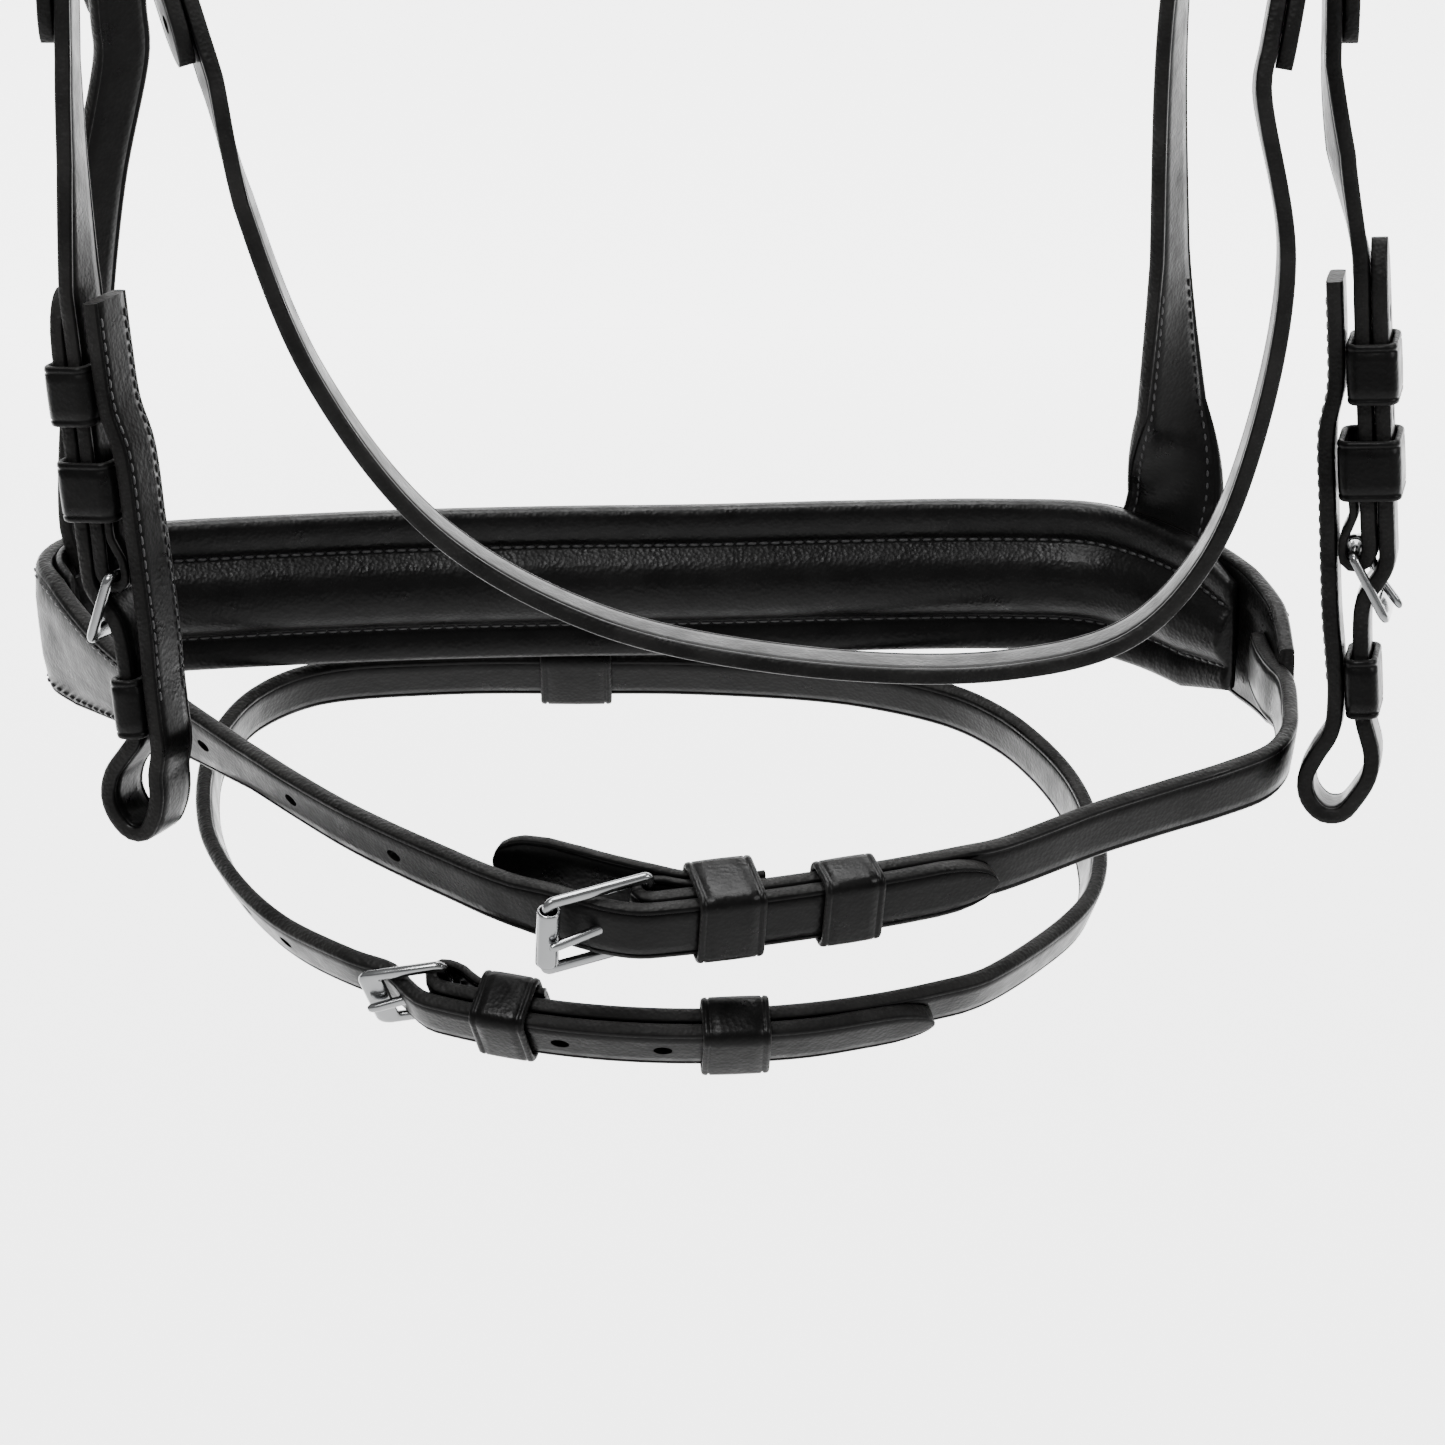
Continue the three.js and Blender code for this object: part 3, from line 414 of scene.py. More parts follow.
def punch(made, spots):
    """Cuts oval holes right through a strap."""
    vertices, faces = [], []
    for centre, along, across in spots:
        start = len(vertices)
        outward = np.cross(along, across)
        for depth in (-HOLE_DEPTH, HOLE_DEPTH):
            for k in range(HOLE_SIDES):
                angle = 2 * math.pi * k / HOLE_SIDES
                spot = along * HOLE_LONG * math.cos(angle) + across * HOLE_WIDE * math.sin(angle)
                vertices.append(tuple((centre + spot + outward * depth) * MM))
        for k in range(HOLE_SIDES):
            a, b = start + k, start + (k + 1) % HOLE_SIDES
            faces.append((a, b, b + HOLE_SIDES, a + HOLE_SIDES))
        faces.append(tuple(start + k for k in reversed(range(HOLE_SIDES))))
        faces.append(tuple(start + HOLE_SIDES + k for k in range(HOLE_SIDES)))
    mesh = bpy.data.meshes.new("punch")
    mesh.from_pydata(vertices, [], faces)
    turn_outwards(mesh)
    tool = bpy.data.objects.new("punch", mesh)
    bpy.context.scene.collection.objects.link(tool)
    cut = made.modifiers.new("punch", "BOOLEAN")
    cut.operation, cut.solver, cut.object = "DIFFERENCE", "MANIFOLD", tool
    bpy.context.view_layer.update()
    result = bpy.data.meshes.new_from_object(made.evaluated_get(bpy.context.evaluated_depsgraph_get()))
    made.modifiers.clear()
    made.data = result
    result.set_sharp_from_angle(angle=math.radians(50))
    bpy.data.objects.remove(tool)


def finish_mesh(name, vertices, faces, slots, finishes, uvs, node, body, holes=()):
    mesh = bpy.data.meshes.new(name)
    mesh.from_pydata([tuple(np.asarray(v) * MM) for v in vertices], [], faces)
    for finish in finishes:
        mesh.materials.append(finish)
    mesh.polygons.foreach_set("material_index", slots)
    mesh.polygons.foreach_set("use_smooth", [True] * len(faces))
    layer = mesh.uv_layers.new(name="UVMap")
    loops = [uvs[v] for face in faces for v in face]
    layer.data.foreach_set("uv", [c for uv in loops for c in uv])
    mesh.validate()
    made = bpy.data.objects.new(name, mesh)
    bpy.context.scene.collection.objects.link(made)
    turn_outwards(mesh)
    if holes:
        punch(made, holes)
    if body:
        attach(made, body)
    if node:
        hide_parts(node)
    return made


def turn_outwards(mesh):
    shape = bmesh.new()
    shape.from_mesh(mesh)
    bmesh.ops.recalc_face_normals(shape, faces=shape.faces)
    shape.to_mesh(mesh)
    shape.free()


def skin(rings, sides, closed, start=0):
    """Faces between each ring of vertices and the next; closed joins the last ring to the first."""
    faces = []
    for i in range(rings if closed else rings - 1):
        this, after = start + i * sides, start + (i + 1) % rings * sides
        for k in range(sides):
            side = (k + 1) % sides
            faces.append((this + k, this + side, after + side, after + k))
    return faces


def edge_slots(outline, gaps):
    """The slot of each face between rings: 1 on the cut edge, else 0."""
    return [int(a[2] and b[2]) for a, b in zip(outline, outline[1:] + outline[:1])] * gaps


def strap_section(width, thick):
    """The outline of a creased strap, as (across, outwards, is it the cut edge)."""
    half, top = width / 2, thick / 2
    inset = min(1.0, half / 6)
    profile = [
        (half, 0.0, True), (half - 0.08, 0.42 * top, True), (half - 0.3 * inset, 0.8 * top, True),
        (half - 0.75 * inset, 0.98 * top, False), (half - 1.15 * inset, top, False),
        (half - 1.45 * inset, top - 0.36 * inset, False), (half - 1.8 * inset, top, False),
        (half * 0.45, top + 0.04, False), (0.0, top + 0.07, False),
    ]
    upper = profile + [(-u, v, e) for u, v, e in reversed(profile[:-1])]
    lower = [(-u, -v, e) for u, v, e in upper[1:-1]]
    return upper + lower


def strap_mesh(
    name, route, node, body, step=FINE_STEP, section=strap_section, finish=None,
    holes=(),
):
    samples = sample_route(route, step)
    vertices, uvs = [], []
    run = 0.0
    outline = section(10, 3)
    count = len(outline)
    for i, sample in enumerate(samples):
        if i:
            run += np.linalg.norm(sample["p"] - samples[i - 1]["p"])
        for u, v, _ in section(sample["width"], sample["thick"]):
            vertices.append(sample["p"] + sample["across"] * u + sample["normal"] * v)
            uvs.append((u * MM, run * MM))
    faces = skin(len(samples), count, False)
    faces += [tuple(range(count)), tuple(reversed(range((len(samples) - 1) * count, len(samples) * count)))]
    slots = [*edge_slots(outline, len(samples) - 1), 1, 1]
    cuts = [spot if isinstance(spot, tuple) else nearest(samples, spot) for spot in holes]
    finishes = finish or [STRAP, EDGE]
    return finish_mesh(name, vertices, faces, slots, finishes, uvs, node, body, cuts), samples


def nearest(samples, place):
    """A punch through a strap's sample nearest to a place."""
    at = min(samples, key=lambda s: np.linalg.norm(s["p"] - place))
    return at["p"], at["tangent"], at["across"]


def capsules(name, places, body, length, girth, finish):
    """Small rounded stitches, each (centre, direction, outwards)."""
    vertices, faces, uvs = [], [], []
    rings = [(-1.0, 0.25), (-0.7, 0.85), (0.0, 1.0), (0.7, 0.85), (1.0, 0.25)]
    sides = 6
    for centre, direction, outward in places:
        side = np.cross(direction, outward)
        start = len(vertices)
        for along, fat in rings:
            for k in range(sides):
                angle = 2 * math.pi * k / sides
                offset = (side * math.cos(angle) + outward * math.sin(angle)) * girth * fat
                vertices.append(centre + direction * along * length / 2 + offset)
                uvs.append((along * MM, k * MM))
        faces += skin(len(rings), sides, False, start)
        faces.append(tuple(start + k for k in reversed(range(sides))))
        faces.append(tuple(start + (len(rings) - 1) * sides + k for k in range(sides)))
    return finish_mesh(name, vertices, faces, [0] * len(faces), [finish], uvs, None, body)


def along_strap(samples, across, lift, first=0.0, last=None):
    """Places of stitches down a strap.

    across is a share of the half width, and lift a share of the half thickness. first and last are
    distances along it; a last below zero counts back from its end.
    """
    runs = np.cumsum([0] + [np.linalg.norm(b["p"] - a["p"]) for a, b in zip(samples, samples[1:])])
    last = runs[-1] if last is None else min(last, runs[-1])
    if last < 0:
        last += runs[-1]
    places = []
    at = first + STITCH_PITCH / 2
    i = 0
    while at < last:
        while i + 2 < len(runs) and runs[i + 1] < at:
            i += 1
        f = (at - runs[i]) / max(runs[i + 1] - runs[i], 1e-6)
        a, b = samples[i], samples[i + 1]
        sideways = unit(mix(a["across"], b["across"], f))
        outward = unit(mix(a["normal"], b["normal"], f))
        tangent = unit(b["p"] - a["p"])
        centre = mix(a["p"], b["p"], f)
        centre = centre + sideways * across * mix(a["width"], b["width"], f) / 2
        centre = centre + outward * lift * mix(a["thick"], b["thick"], f) / 2
        places.append((centre, tangent, outward * (1 if lift > 0 else -1)))
        at += STITCH_PITCH
    return places


def both_edges(share, *lifts):
    """Stitch rows near both edges of a strap, at each lift."""
    return [(side * share, lift) for lift in lifts for side in (-1, 1)]


def sewn(name, samples, body, rows, first=0.0, last=None):
    """Rows of stitching down a strap, each row (across, lift)."""
    places = [p for across, lift in rows for p in along_strap(samples, across, lift, first, last)]
    return capsules(name, places, body, STITCH_LENGTH, STITCH_GIRTH, THREAD)


def keeper_mesh(node, body, at, strap_width, low, high, length):
    """A leather loop: a creased strip bent round the stack of straps, with soft corners."""
    half = strap_width / 2 + KEEPER_PLAY + KEEPER_WALL / 2
    bottom, top = low - KEEPER_PLAY - KEEPER_WALL / 2, high + KEEPER_PLAY + KEEPER_WALL / 2
    corner = KEEPER_CORNER
    path = []
    for cx, cy, start in ((half - corner, top - corner, 0), (corner - half, top - corner, 90),
                          (corner - half, bottom + corner, 180), (half - corner, bottom + corner, 270)):
        for degrees in range(start, start + 91, 15):
            angle = math.radians(degrees)
            out = (math.cos(angle), math.sin(angle))
            path.append(((cx + corner * out[0], cy + corner * out[1]), out))
    outline = strap_section(length, KEEPER_WALL)
    vertices, uvs = [], []
    for i, ((x, y), (nx, ny)) in enumerate(path):
        centre = at["position"] + at["width"] * x + at["outward"] * y
        normal = at["width"] * nx + at["outward"] * ny
        for u, v, _ in outline:
            vertices.append(centre + at["along"] * u + normal * v)
            uvs.append((u * MM, i * 2 * MM))
    faces = skin(len(path), len(outline), True)
    slots = edge_slots(outline, len(path))
    return finish_mesh(
        node + "_look", vertices, faces, slots, [STRAP, EDGE], uvs, node, body
    )


def keeper(node, body, joint, s, strap_width, low, high, length):
    return keeper_mesh(node, body, joint.frame(s), strap_width, low, high, length)


def round_section(half_width, half_thick, sides=16):
    """A bar's outline: a rectangle with its corners rounded well off."""
    outline = []
    for k in range(sides):
        angle = 2 * math.pi * (k + 0.5) / sides
        parts = (math.cos(angle), math.sin(angle))
        x, y = (math.copysign(abs(part) ** BAR_ROUNDING, part) for part in parts)
        outline.append((half_width * x, half_thick * y))
    return outline


def metal_sweep(node, body, rings, closed):
    """A steel piece swept through rings of (centre, sideways, outward, half width, half thickness)."""
    sides = 16
    vertices = []
    for centre, sideways, outward, half_width, half_thick in rings:
        for u, v in round_section(half_width, half_thick, sides):
            vertices.append(centre + sideways * u + outward * v)
    count = len(rings)
    faces = skin(count, sides, closed)
    if not closed:
        faces.append(tuple(range(sides)))
        faces.append(tuple((count - 1) * sides + k for k in range(sides)))
    uvs = [(v[0] * MM, v[2] * MM) for v in vertices]
    slots = [0] * len(faces)
    return finish_mesh(node + "_look", vertices, faces, slots, [STEEL], uvs, node, body)


def tipped(joint, tilt):
    """The directions of a frame tipped up on its heel bar."""
    at = joint.frame(0)
    angle = math.radians(tilt)
    along = at["along"] * math.cos(angle) + at["outward"] * math.sin(angle)
    outward = at["outward"] * math.cos(angle) - at["along"] * math.sin(angle)
    return at["position"], at["width"], along, outward


def rounded_window(half, low, high, corner, steps=6):
    """Points round a rectangle with rounded corners, the same number whatever its size."""
    centres = ((half - corner, high - corner, 0), (corner - half, high - corner, 90),
               (corner - half, low + corner, 180), (half - corner, low + corner, 270))
    points = []
    for x, y, start in centres:
        for i in range(steps + 1):
            angle = math.radians(start + 90 * i / steps)
            points.append(np.array([x + corner * math.cos(angle), y + corner * math.sin(angle)]))
    return points


def buckle_frame(name, joint, strap_width, buckle):
    """A frame of rounded bar, wider and flatter at the front."""
    position, width, along, outward = tipped(joint, buckle["tilt"])
    half = strap_width / 2 + FRAME_PLAY
    outer = rounded_window(half + SIDE_BAR, -BAR, buckle["length"] + buckle["front"] - BAR, 2.4)
    inner = rounded_window(half, BAR, buckle["length"] - BAR, 0.7)
    rings = []
    for far, near in zip(outer, inner):
        centre, reach = (far + near) / 2, far - near
        sideways = (width * reach[0] + along * reach[1]) / np.linalg.norm(reach)
        place = position + width * centre[0] + along * centre[1]
        rings.append((place, sideways, outward, np.linalg.norm(reach) / 2, BAR))
    return metal_sweep(f"{name}_buckle_frame", f"{name}_frame", rings, True)


def buckle_tongue(name, joint, buckle):
    """A tongue curled round the heel bar, whose shank tapers to a tip on the front bar."""
    rest = buckle.get("rest", BAR)
    angle = buckle["tilt"] + math.degrees(math.atan2(rest + GAP + TONGUE_HALF, buckle["length"]))
    position, width, along, outward = tipped(joint, angle)
    reach = buckle["length"] + buckle["front"] - BAR
    rings = []
    for degrees in range(390, 90, -20):
        turn = math.radians(degrees)
        radial = along * math.cos(turn) + outward * math.sin(turn)
        rings.append((position + radial * TONGUE_CURL, width, radial, TONGUE_WIDE, CURL_HALF))
    shank = [  # (along it, height, half thickness)
        (0, TONGUE_CURL, 0.55), (1.5, 2.1, 0.65), (3, 1.7, 0.8), (5, 1.0, 0.9), (7.5, 0.35, 0.9),
        (10, 0.05, 0.9), (reach - 2, 0.0, 0.9), (reach - 0.8, -0.05, 0.8), (reach - 0.2, -0.1, 0.6),
        (reach, -0.1, 0.3),
    ]
    for s, h, thick in shank:
        half_width = TONGUE_WIDE
        if s >= TAPER_START:
            half_width = TONGUE_WIDE - TONGUE_TAPER * (s - TAPER_START) / (reach - TAPER_START)
        if s > reach - 0.5:
            half_width *= 0.6
        rings.append((position + along * s + outward * h, width, outward, half_width, thick))
    return metal_sweep(f"{name}_buckle_tongue", f"{name}_tongue", rings, False)


def roller(node, body, joint, strap_width, buckle):
    """A steel tube on the front bar, with rolled ends."""
    position, width, along, outward = tipped(joint, buckle["tilt"])
    centre = position + along * buckle["length"]
    half = strap_width / 2 + 0.3
    profile = [
        (-half, 1.9), (-half, 2.2), (-half + 0.25, 2.38), (-half + 0.9, 2.4), (half - 0.9, 2.4),
        (half - 0.25, 2.38), (half, 2.2), (half, 1.9), (half - 0.3, 1.82), (-half + 0.3, 1.82),
    ]
    sides = 32
    vertices = []
    for across, radius in profile:
        for k in range(sides):
            turn = 2 * math.pi * k / sides
            radial = along * math.cos(turn) + outward * math.sin(turn)
            vertices.append(centre + width * across + radial * radius)
    faces = skin(len(profile), sides, True)
    uvs = [(v[0] * MM, v[2] * MM) for v in vertices]
    slots = [0] * len(faces)
    return finish_mesh(node + "_look", vertices, faces, slots, [STEEL], uvs, node, body)


# -------- the buckled joints

SIDES = {
    "left": {
        "sign": -1,
        "top": Joint((-126.5, -4, -236), (0, 0.1, 0.995), (0.1, 0.99, -0.1), (-1, 0, 0)),
        "bit": Joint((-118.8, -18, -411), (0.1, 0, -0.995), (0.45, 0.89, 0.05), (-1, 0, 0)),
        "throat": Joint((-110, -30, -256), (-0.3, 0.22, 0.93), (-0.25, 0.95, -0.3), (-1, 0, 0)),
        "cheek": [(-129, -14, -326)],
        "bit_reach": 60,
        "bit_loop": [-4.6, -3.2, -2.8, -1.2, 1.4, 4.8, 8, 9.2, 7.6, 3.2],
    },
    "right": {
        "sign": 1,
        "top": Joint((127, -4, -236), (0, 0.1, 0.995), (0, 0.995, -0.1), (1, 0, 0)),
        "bit": Joint((137.6, -13, -408), (0.055, 0, -1), (0.16, 0.985, 0), (1, 0, 0)),
        "throat": Joint((119, -31, -256), (0.17, 0.22, 0.96), (0, 0.97, -0.22), (1, 0, 0)),
        "cheek": [(132.5, -12.5, -324)],
        "bit_reach": 66,
        "bit_loop": [-6, -9.2, -11.7, -11.2, -8.2, -4.4, -1.2, 1.6, 2.4, 1.4],
    },
}
CHIN = Joint(
    (-10, -80, NOSE_PLANE["level"] - NOSE_PLANE["slope"] * 80), (-0.977, -0.21, -0.04),
    plane_normal(NOSE_PLANE), (0, -1, 0), 12, 330,
)
HEAD = Joint((-124, 38, -268), (-0.04, -0.28, 0.96), (0.86, 0.5, 0.17), (-0.5, 1, 0))
FLASH = Joint(
    (-51, -57, FLASH_PLANE["level"] - FLASH_PLANE["slope"] * 57 + 2.5), (-0.9, 0.44, 0.08),
    plane_normal(FLASH_PLANE), (0, -1, 0), 30, 112,
)
BIT_BUCKLE = {"length": 12.5, "tilt": 25, "front": 4.5}
THROAT_BUCKLE = {"length": 13, "tilt": 24, "front": 2.4}
HEAD_BUCKLE = THROAT_BUCKLE
FLASH_BUCKLE = {"length": 14, "tilt": 24, "front": 5}
CHIN_BUCKLE = {"length": 22.5, "tilt": 14, "front": 2.4, "rest": 2.4}


def add_buckle(name, joint, strap_width, buckle):
    buckle_frame(name, joint, strap_width, buckle)
    buckle_tongue(name, joint, buckle)


def flexed(piece):
    """A tail that starts just below the browband, left on no body with its mesh kept in place."""
    piece.parent = None
    piece.matrix_world = Matrix.Identity(4)
    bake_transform(piece)


# -------- cheekpieces

BIT_LOOP_REACH = [39, 44, 49, 53.5, 56.8, 56.8, 53.5, 49, 44, 39]  # beyond the heel bar, round the loop


def add_cheek(side):
    layout = SIDES[side]
    sign, top, bit = layout["sign"], layout["top"], layout["bit"]
    body = f"cheek_{side}"
    upper = chape_stops(top, CHEEK_WIDTH, 22, -70)
    lower = chape_stops(bit, CHEEK_WIDTH, 13, -60)[::-1]
    between = stops_at(layout["cheek"], (sign * -0.2, 1, 0), CHEEK_WIDTH)
    route = [*upper, *between, *lower]
    strap_mesh(f"cheek_strap_{side}_look", route, f"cheek_strap_{side}", body)

    loop = zip(BIT_LOOP_REACH, layout["bit_loop"])
    path = [
        (-58, -2.4), (-46, -2.4), (-35, -2.8), (-26, -4.9), (-10, -5.2), (2, BASE), (14, BASE), (23, -4.9),
        (31, -4.8), *loop, (36, LOWER_KEEPER), (29, LOWER_KEEPER), (22.5, LOWER_KEEPER),
        *under_front_bar(BIT_BUCKLE)[1:],
    ]
    route = billet_stops(bit, CHEEK_WIDTH, layout["bit_reach"], path)
    holes = [hole_at(bit, s) for s in (-29, -50)]
    node = f"bit_billet_{side}"
    _, samples = strap_mesh(f"{node}_look", route, node, body, TIGHT_STEP, holes=holes)
    inner_face = -1 if samples[3]["normal"] @ bit.out > 0 else 1
    sewn(f"bit_billet_stitching_{side}", samples, body, both_edges(0.72, inner_face), 3, 86)
    add_buckle(f"bit_{side}", bit, CHEEK_WIDTH, BIT_BUCKLE)
    keeper(f"bit_keeper_upper_{side}", body, bit, -38.5, CHEEK_WIDTH, MAIN_UNDER, BILLET_TOP, 13)
    keeper(f"bit_keeper_middle_{side}", body, bit, -18, CHEEK_WIDTH, RETURN_UNDER, BILLET_TOP, 13)
    low, high = LOWER_KEEPER - LEATHER / 2, LOWER_KEEPER + LEATHER / 2
    keeper(f"bit_keeper_lower_{side}", body, bit, 29, CHEEK_WIDTH, low, high, 13)

    flex = stop((sign * CROWN_SIDE, 2.6, FLEX_LEVEL + 0.4), (0, 1, 0), CHEEK_WIDTH)
    front = [(48, 8), (33, 5), *under_front_bar(BIT_BUCKLE)]
    route = [flex, *billet_stops(top, CHEEK_WIDTH, 66, front)]
    holes = [hole_at(top, s) for s in (-24, -50)]
    billet, _ = strap_mesh(f"cheek_billet_{side}_look", route, f"cheek_billet_{side}", None, holes=holes)
    flexed(billet)
    add_buckle(f"cheek_{side}", top, CHEEK_WIDTH, BIT_BUCKLE)
    keeper(f"cheek_keeper_{side}", body, top, -14, CHEEK_WIDTH, RETURN_UNDER, BILLET_TOP, 11)
    keeper(f"cheek_runner_{side}", f"cheek_runner_{side}", top, -36, CHEEK_WIDTH, MAIN_UNDER, BILLET_TOP, 11)


# -------- throatlash

THROAT_ROUTE = [
    (-92, -42, -328), (-78, -43, -364), (-54, -43, -396), (-22, -43, -415), (17, -43, -424),
    (62, -43, -425.5), (88.5, -43, -418.5), (103.5, -42, -403), (113.5, -41, -378), (119.5, -40, -340),
]


def add_throatlash():
    left, right = SIDES["left"]["throat"], SIDES["right"]["throat"]
    route = [
        *chape_stops(left, THROAT_WIDTH, 20, -50),
        *stops_at(THROAT_ROUTE, (0, 1, 0.08), THROAT_WIDTH),
        *chape_stops(right, THROAT_WIDTH, 20, -50)[::-1],
    ]
    strap_mesh("throatlash_strap_look", route, "throatlash_strap", "throatlash")
    for side, layout in SIDES.items():
        sign, throat = layout["sign"], layout["throat"]
        flex = stop((sign * CROWN_SIDE, -10.5, FLEX_LEVEL + 0.4), (0, 1, 0), THROAT_WIDTH)
        front = [(46, 2), (32, 1.2), *under_front_bar(THROAT_BUCKLE)]
        route = [flex, *billet_stops(throat, THROAT_WIDTH, 46, front)]
        holes = [hole_at(throat, s) for s in (-25, -37)]
        node = f"throat_billet_{side}"
        billet, _ = strap_mesh(f"{node}_look", route, node, None, holes=holes)
        flexed(billet)
        add_buckle(f"throat_{side}", throat, THROAT_WIDTH, THROAT_BUCKLE)
        keeper(f"throat_keeper_{side}", "throatlash", throat, -13, THROAT_WIDTH, RETURN_UNDER, BILLET_TOP, 11)


# -------- headpiece, poll pad and browband

ARCH = [
    (ARCH_SIDE, FLEX_LEVEL + 0.5), (ARCH_SIDE, -150), (ARCH_SIDE, -130), (ARCH_SIDE - 3.5, -100),
    (100, -62), (74, -28), (40, -8), (0, 0),
]
SPLIT = 3  # the arch's stops at each end where the headpiece is split into tails
LEVEL = [0] * len(ARCH)


def arch_stops(offset, fore_aft, width, thick):
    full = [(-x, z) for x, z in ARCH] + ARCH[-2::-1]
    shifts = [*fore_aft, *fore_aft[-2::-1]]
    stops = []
    for i, (x, z) in enumerate(full):
        bx, bz = full[max(i - 1, 0)]
        ax, az = full[min(i + 1, len(full) - 1)]
        out = unit(vec(bz - az, 0, ax - bx))
        place = vec(x, 0, z) + out * offset
        place[1] = shifts[i]
        stops.append(stop(place, (0, 1, 0), width, thick))
    return stops


def closed_ends(route, reach):
    """Rounds a pad off at both its ends, over the last stretch of its route."""
    rounded = []
    for end, inner in ((route[0], route[1]), (route[-1], route[-2])):
        share = reach / np.linalg.norm(inner["p"] - end["p"])
        stops = []
        for f in (0, 0.08, 0.25, 0.55, 1):
            fullness = math.sqrt(1 - (1 - f) ** 2)
            at = {key: mix(end[key], inner[key], f * share) for key in ("p", "w", "width", "thick")}
            at["width"] *= mix(0.7, 1, fullness)
            at["thick"] *= mix(0.25, 1, fullness)
            stops.append(at)
        rounded.append(stops)
    return [*rounded[0], *route[1:-1], *rounded[1][::-1]]


def poll_section(width, thick):
    """A stuffed pad with a rolled edge and a seam inside each edge."""
    half, top = width / 2, thick / 2
    profile = [
        (1.0, 0.0), (0.985, 0.3), (0.93, 0.52), (0.86, 0.5), (0.82, 0.36), (0.78, 0.5), (0.66, 0.78),
        (0.45, 0.95), (0.2, 1.0), (0.0, 1.0),
    ]
    upper = profile + [(-u, v) for u, v in reversed(profile[:-1])]
    lower = [(-u, -v) for u, v in upper[1:-1]]
    return [(u * half, v * top, False) for u, v in upper + lower]


def add_headpiece():
    crown = arch_stops(CROWN_LEVEL, LEVEL, CROWN_WIDTH, LEATHER)[SPLIT:-SPLIT]
    crown[0]["width"] = crown[-1]["width"] = CROWN_WIDTH - 2.4
    cheek = arch_stops(CROWN_LEVEL, [2.6, 5, 6.5, 7.5, *LEVEL[4:]], CHEEK_WIDTH, LEATHER)
    throat = arch_stops(CROWN_LEVEL, [-10.5, -9, -8.5, -8, *LEVEL[4:]], THROAT_WIDTH, LEATHER)
    _, samples = strap_mesh("headpiece_look", crown, "headpiece", "crown")
    sewn("headpiece_stitching", samples, "crown", both_edges(0.86, 1))
    for name, stops in (("cheek", cheek), ("throat", throat)):
        for side, part in (("left", stops[: SPLIT + 1]), ("right", stops[-SPLIT - 1:])):
            strap_mesh(f"headpiece_{name}_tail_{side}", part, None, "crown")
    pad = arch_stops(POLL_PAD_THICK / 2, LEVEL, POLL_PAD_WIDTH, POLL_PAD_THICK)[SPLIT + 1:-SPLIT - 1]
    pad = closed_ends(pad, 8)
    soft, samples = strap_mesh(
        "poll_pad_look", pad, "poll_pad", "crown", POLL_PAD_STEP, poll_section, [PADDING]
    )
    rows = both_edges(0.82, 0.42, -0.42)
    sewn("poll_pad_stitching", samples, "crown", rows)


def add_browband():
    half = [(140.3, 8), (140.5, 20), (139, 40), (124, 72), (90, 98), (45, 112), (0, 116)]
    places = [(-x, y) for x, y in half] + half[-2::-1]
    front = [stop((x, y, BROWBAND_LEVEL), (0, 0, 1), BROWBAND_HEIGHT, 4) for x, y in places]
    _, samples = strap_mesh("browband_look", front, "browband", "browband")
    outer_face = 1 if samples[len(samples) // 2]["normal"][1] > 0 else -1
    sewn("browband_stitching", samples, "browband", both_edges(0.74, outer_face), 14, -14)
    inner, outer = HEADSTRAP_SIDE - 4.2, CROWN_SIDE + 5
    near, far = inner + LOOP_WALL / 2, outer - LOOP_WALL / 2
    rear, fore = LOOP_WALL / 2 - LOOP_REAR, LOOP_FORE - LOOP_WALL / 2
    plan = [
        (near + 4, rear), (far - 4, rear), (far, -14), (far + 0.4, 0), (far + 1, 15), (outer - 3, fore),
        (near + 4, fore), (near, 15), (near, 0), (near, -14), (near + 4, rear),
    ]
    for side, sign in (("left", -1), ("right", 1)):
        ring = [
            stop((sign * x, y, BROWBAND_LEVEL), (0, 0, 1), BROWBAND_HEIGHT, LOOP_WALL) for x, y in plan
        ]
        strap_mesh(f"browband_loop_{side}", ring, None, "browband")


# -------- noseband

FAR_BAND = [
    (126.5, 22, 0), (125, 36, 0), (120, 51, 0), (112, 65, 0), (101, 77, 0), (88, 85, 0), (66, 87, 0),
    (33, 86, 0), (0, 84, 0), (-33, 83, 0), (-66, 81, 0), (-95, 78, 0), (-118, 75, 0), (-132, 71.5, 0),
    (-140.5, 65, 0), (-142.5, 56, 4), (-137.5, 46, 10),
]
NEAR_BAND = [
    (-127.5, 30, 18), (-117.5, 15, 20), (-107, 1, 20), (-95, -14, 20), (-84, -28.5, 20), (-73, -42, 19),
    (-61.5, -54, 18),
]
BILLET_TURN = [(-51, -64, 17), (-43, -71.5, 16), (-36, -77, 15)]
CHIN_ROUTE = [
    (121.4, 38, 0), (122.2, 30, 1), (123.6, 23, 3), (125.5, 17, 4), (125.3, 2, 6), (124, -8, 8),
    (119.5, -17.5, 10), (110, -25.5, 11), (97, -34, 12), (83, -43.5, 12),
]
GUARD_TAB = [  # (along the strap, height, width)
    (-22, -2.3, 13), (-12, -2.4, 13), (-7.5, -2.6, 13.5), (-2, -4.9, 14.5), (4, -7.2, 16),
    (12, -11.5, 17), (18, -15.2, 17), (22.5, -18.1, 15), (25, -19.7, 12), (26.6, -20.7, 8.5),
    (27.4, -21.2, 5), (27.7, -21.4, 1.6),
]
SEAM_HIGH, SEAM_LOW = 0.5, -0.56  # the pad's two seams, as shares of its half height


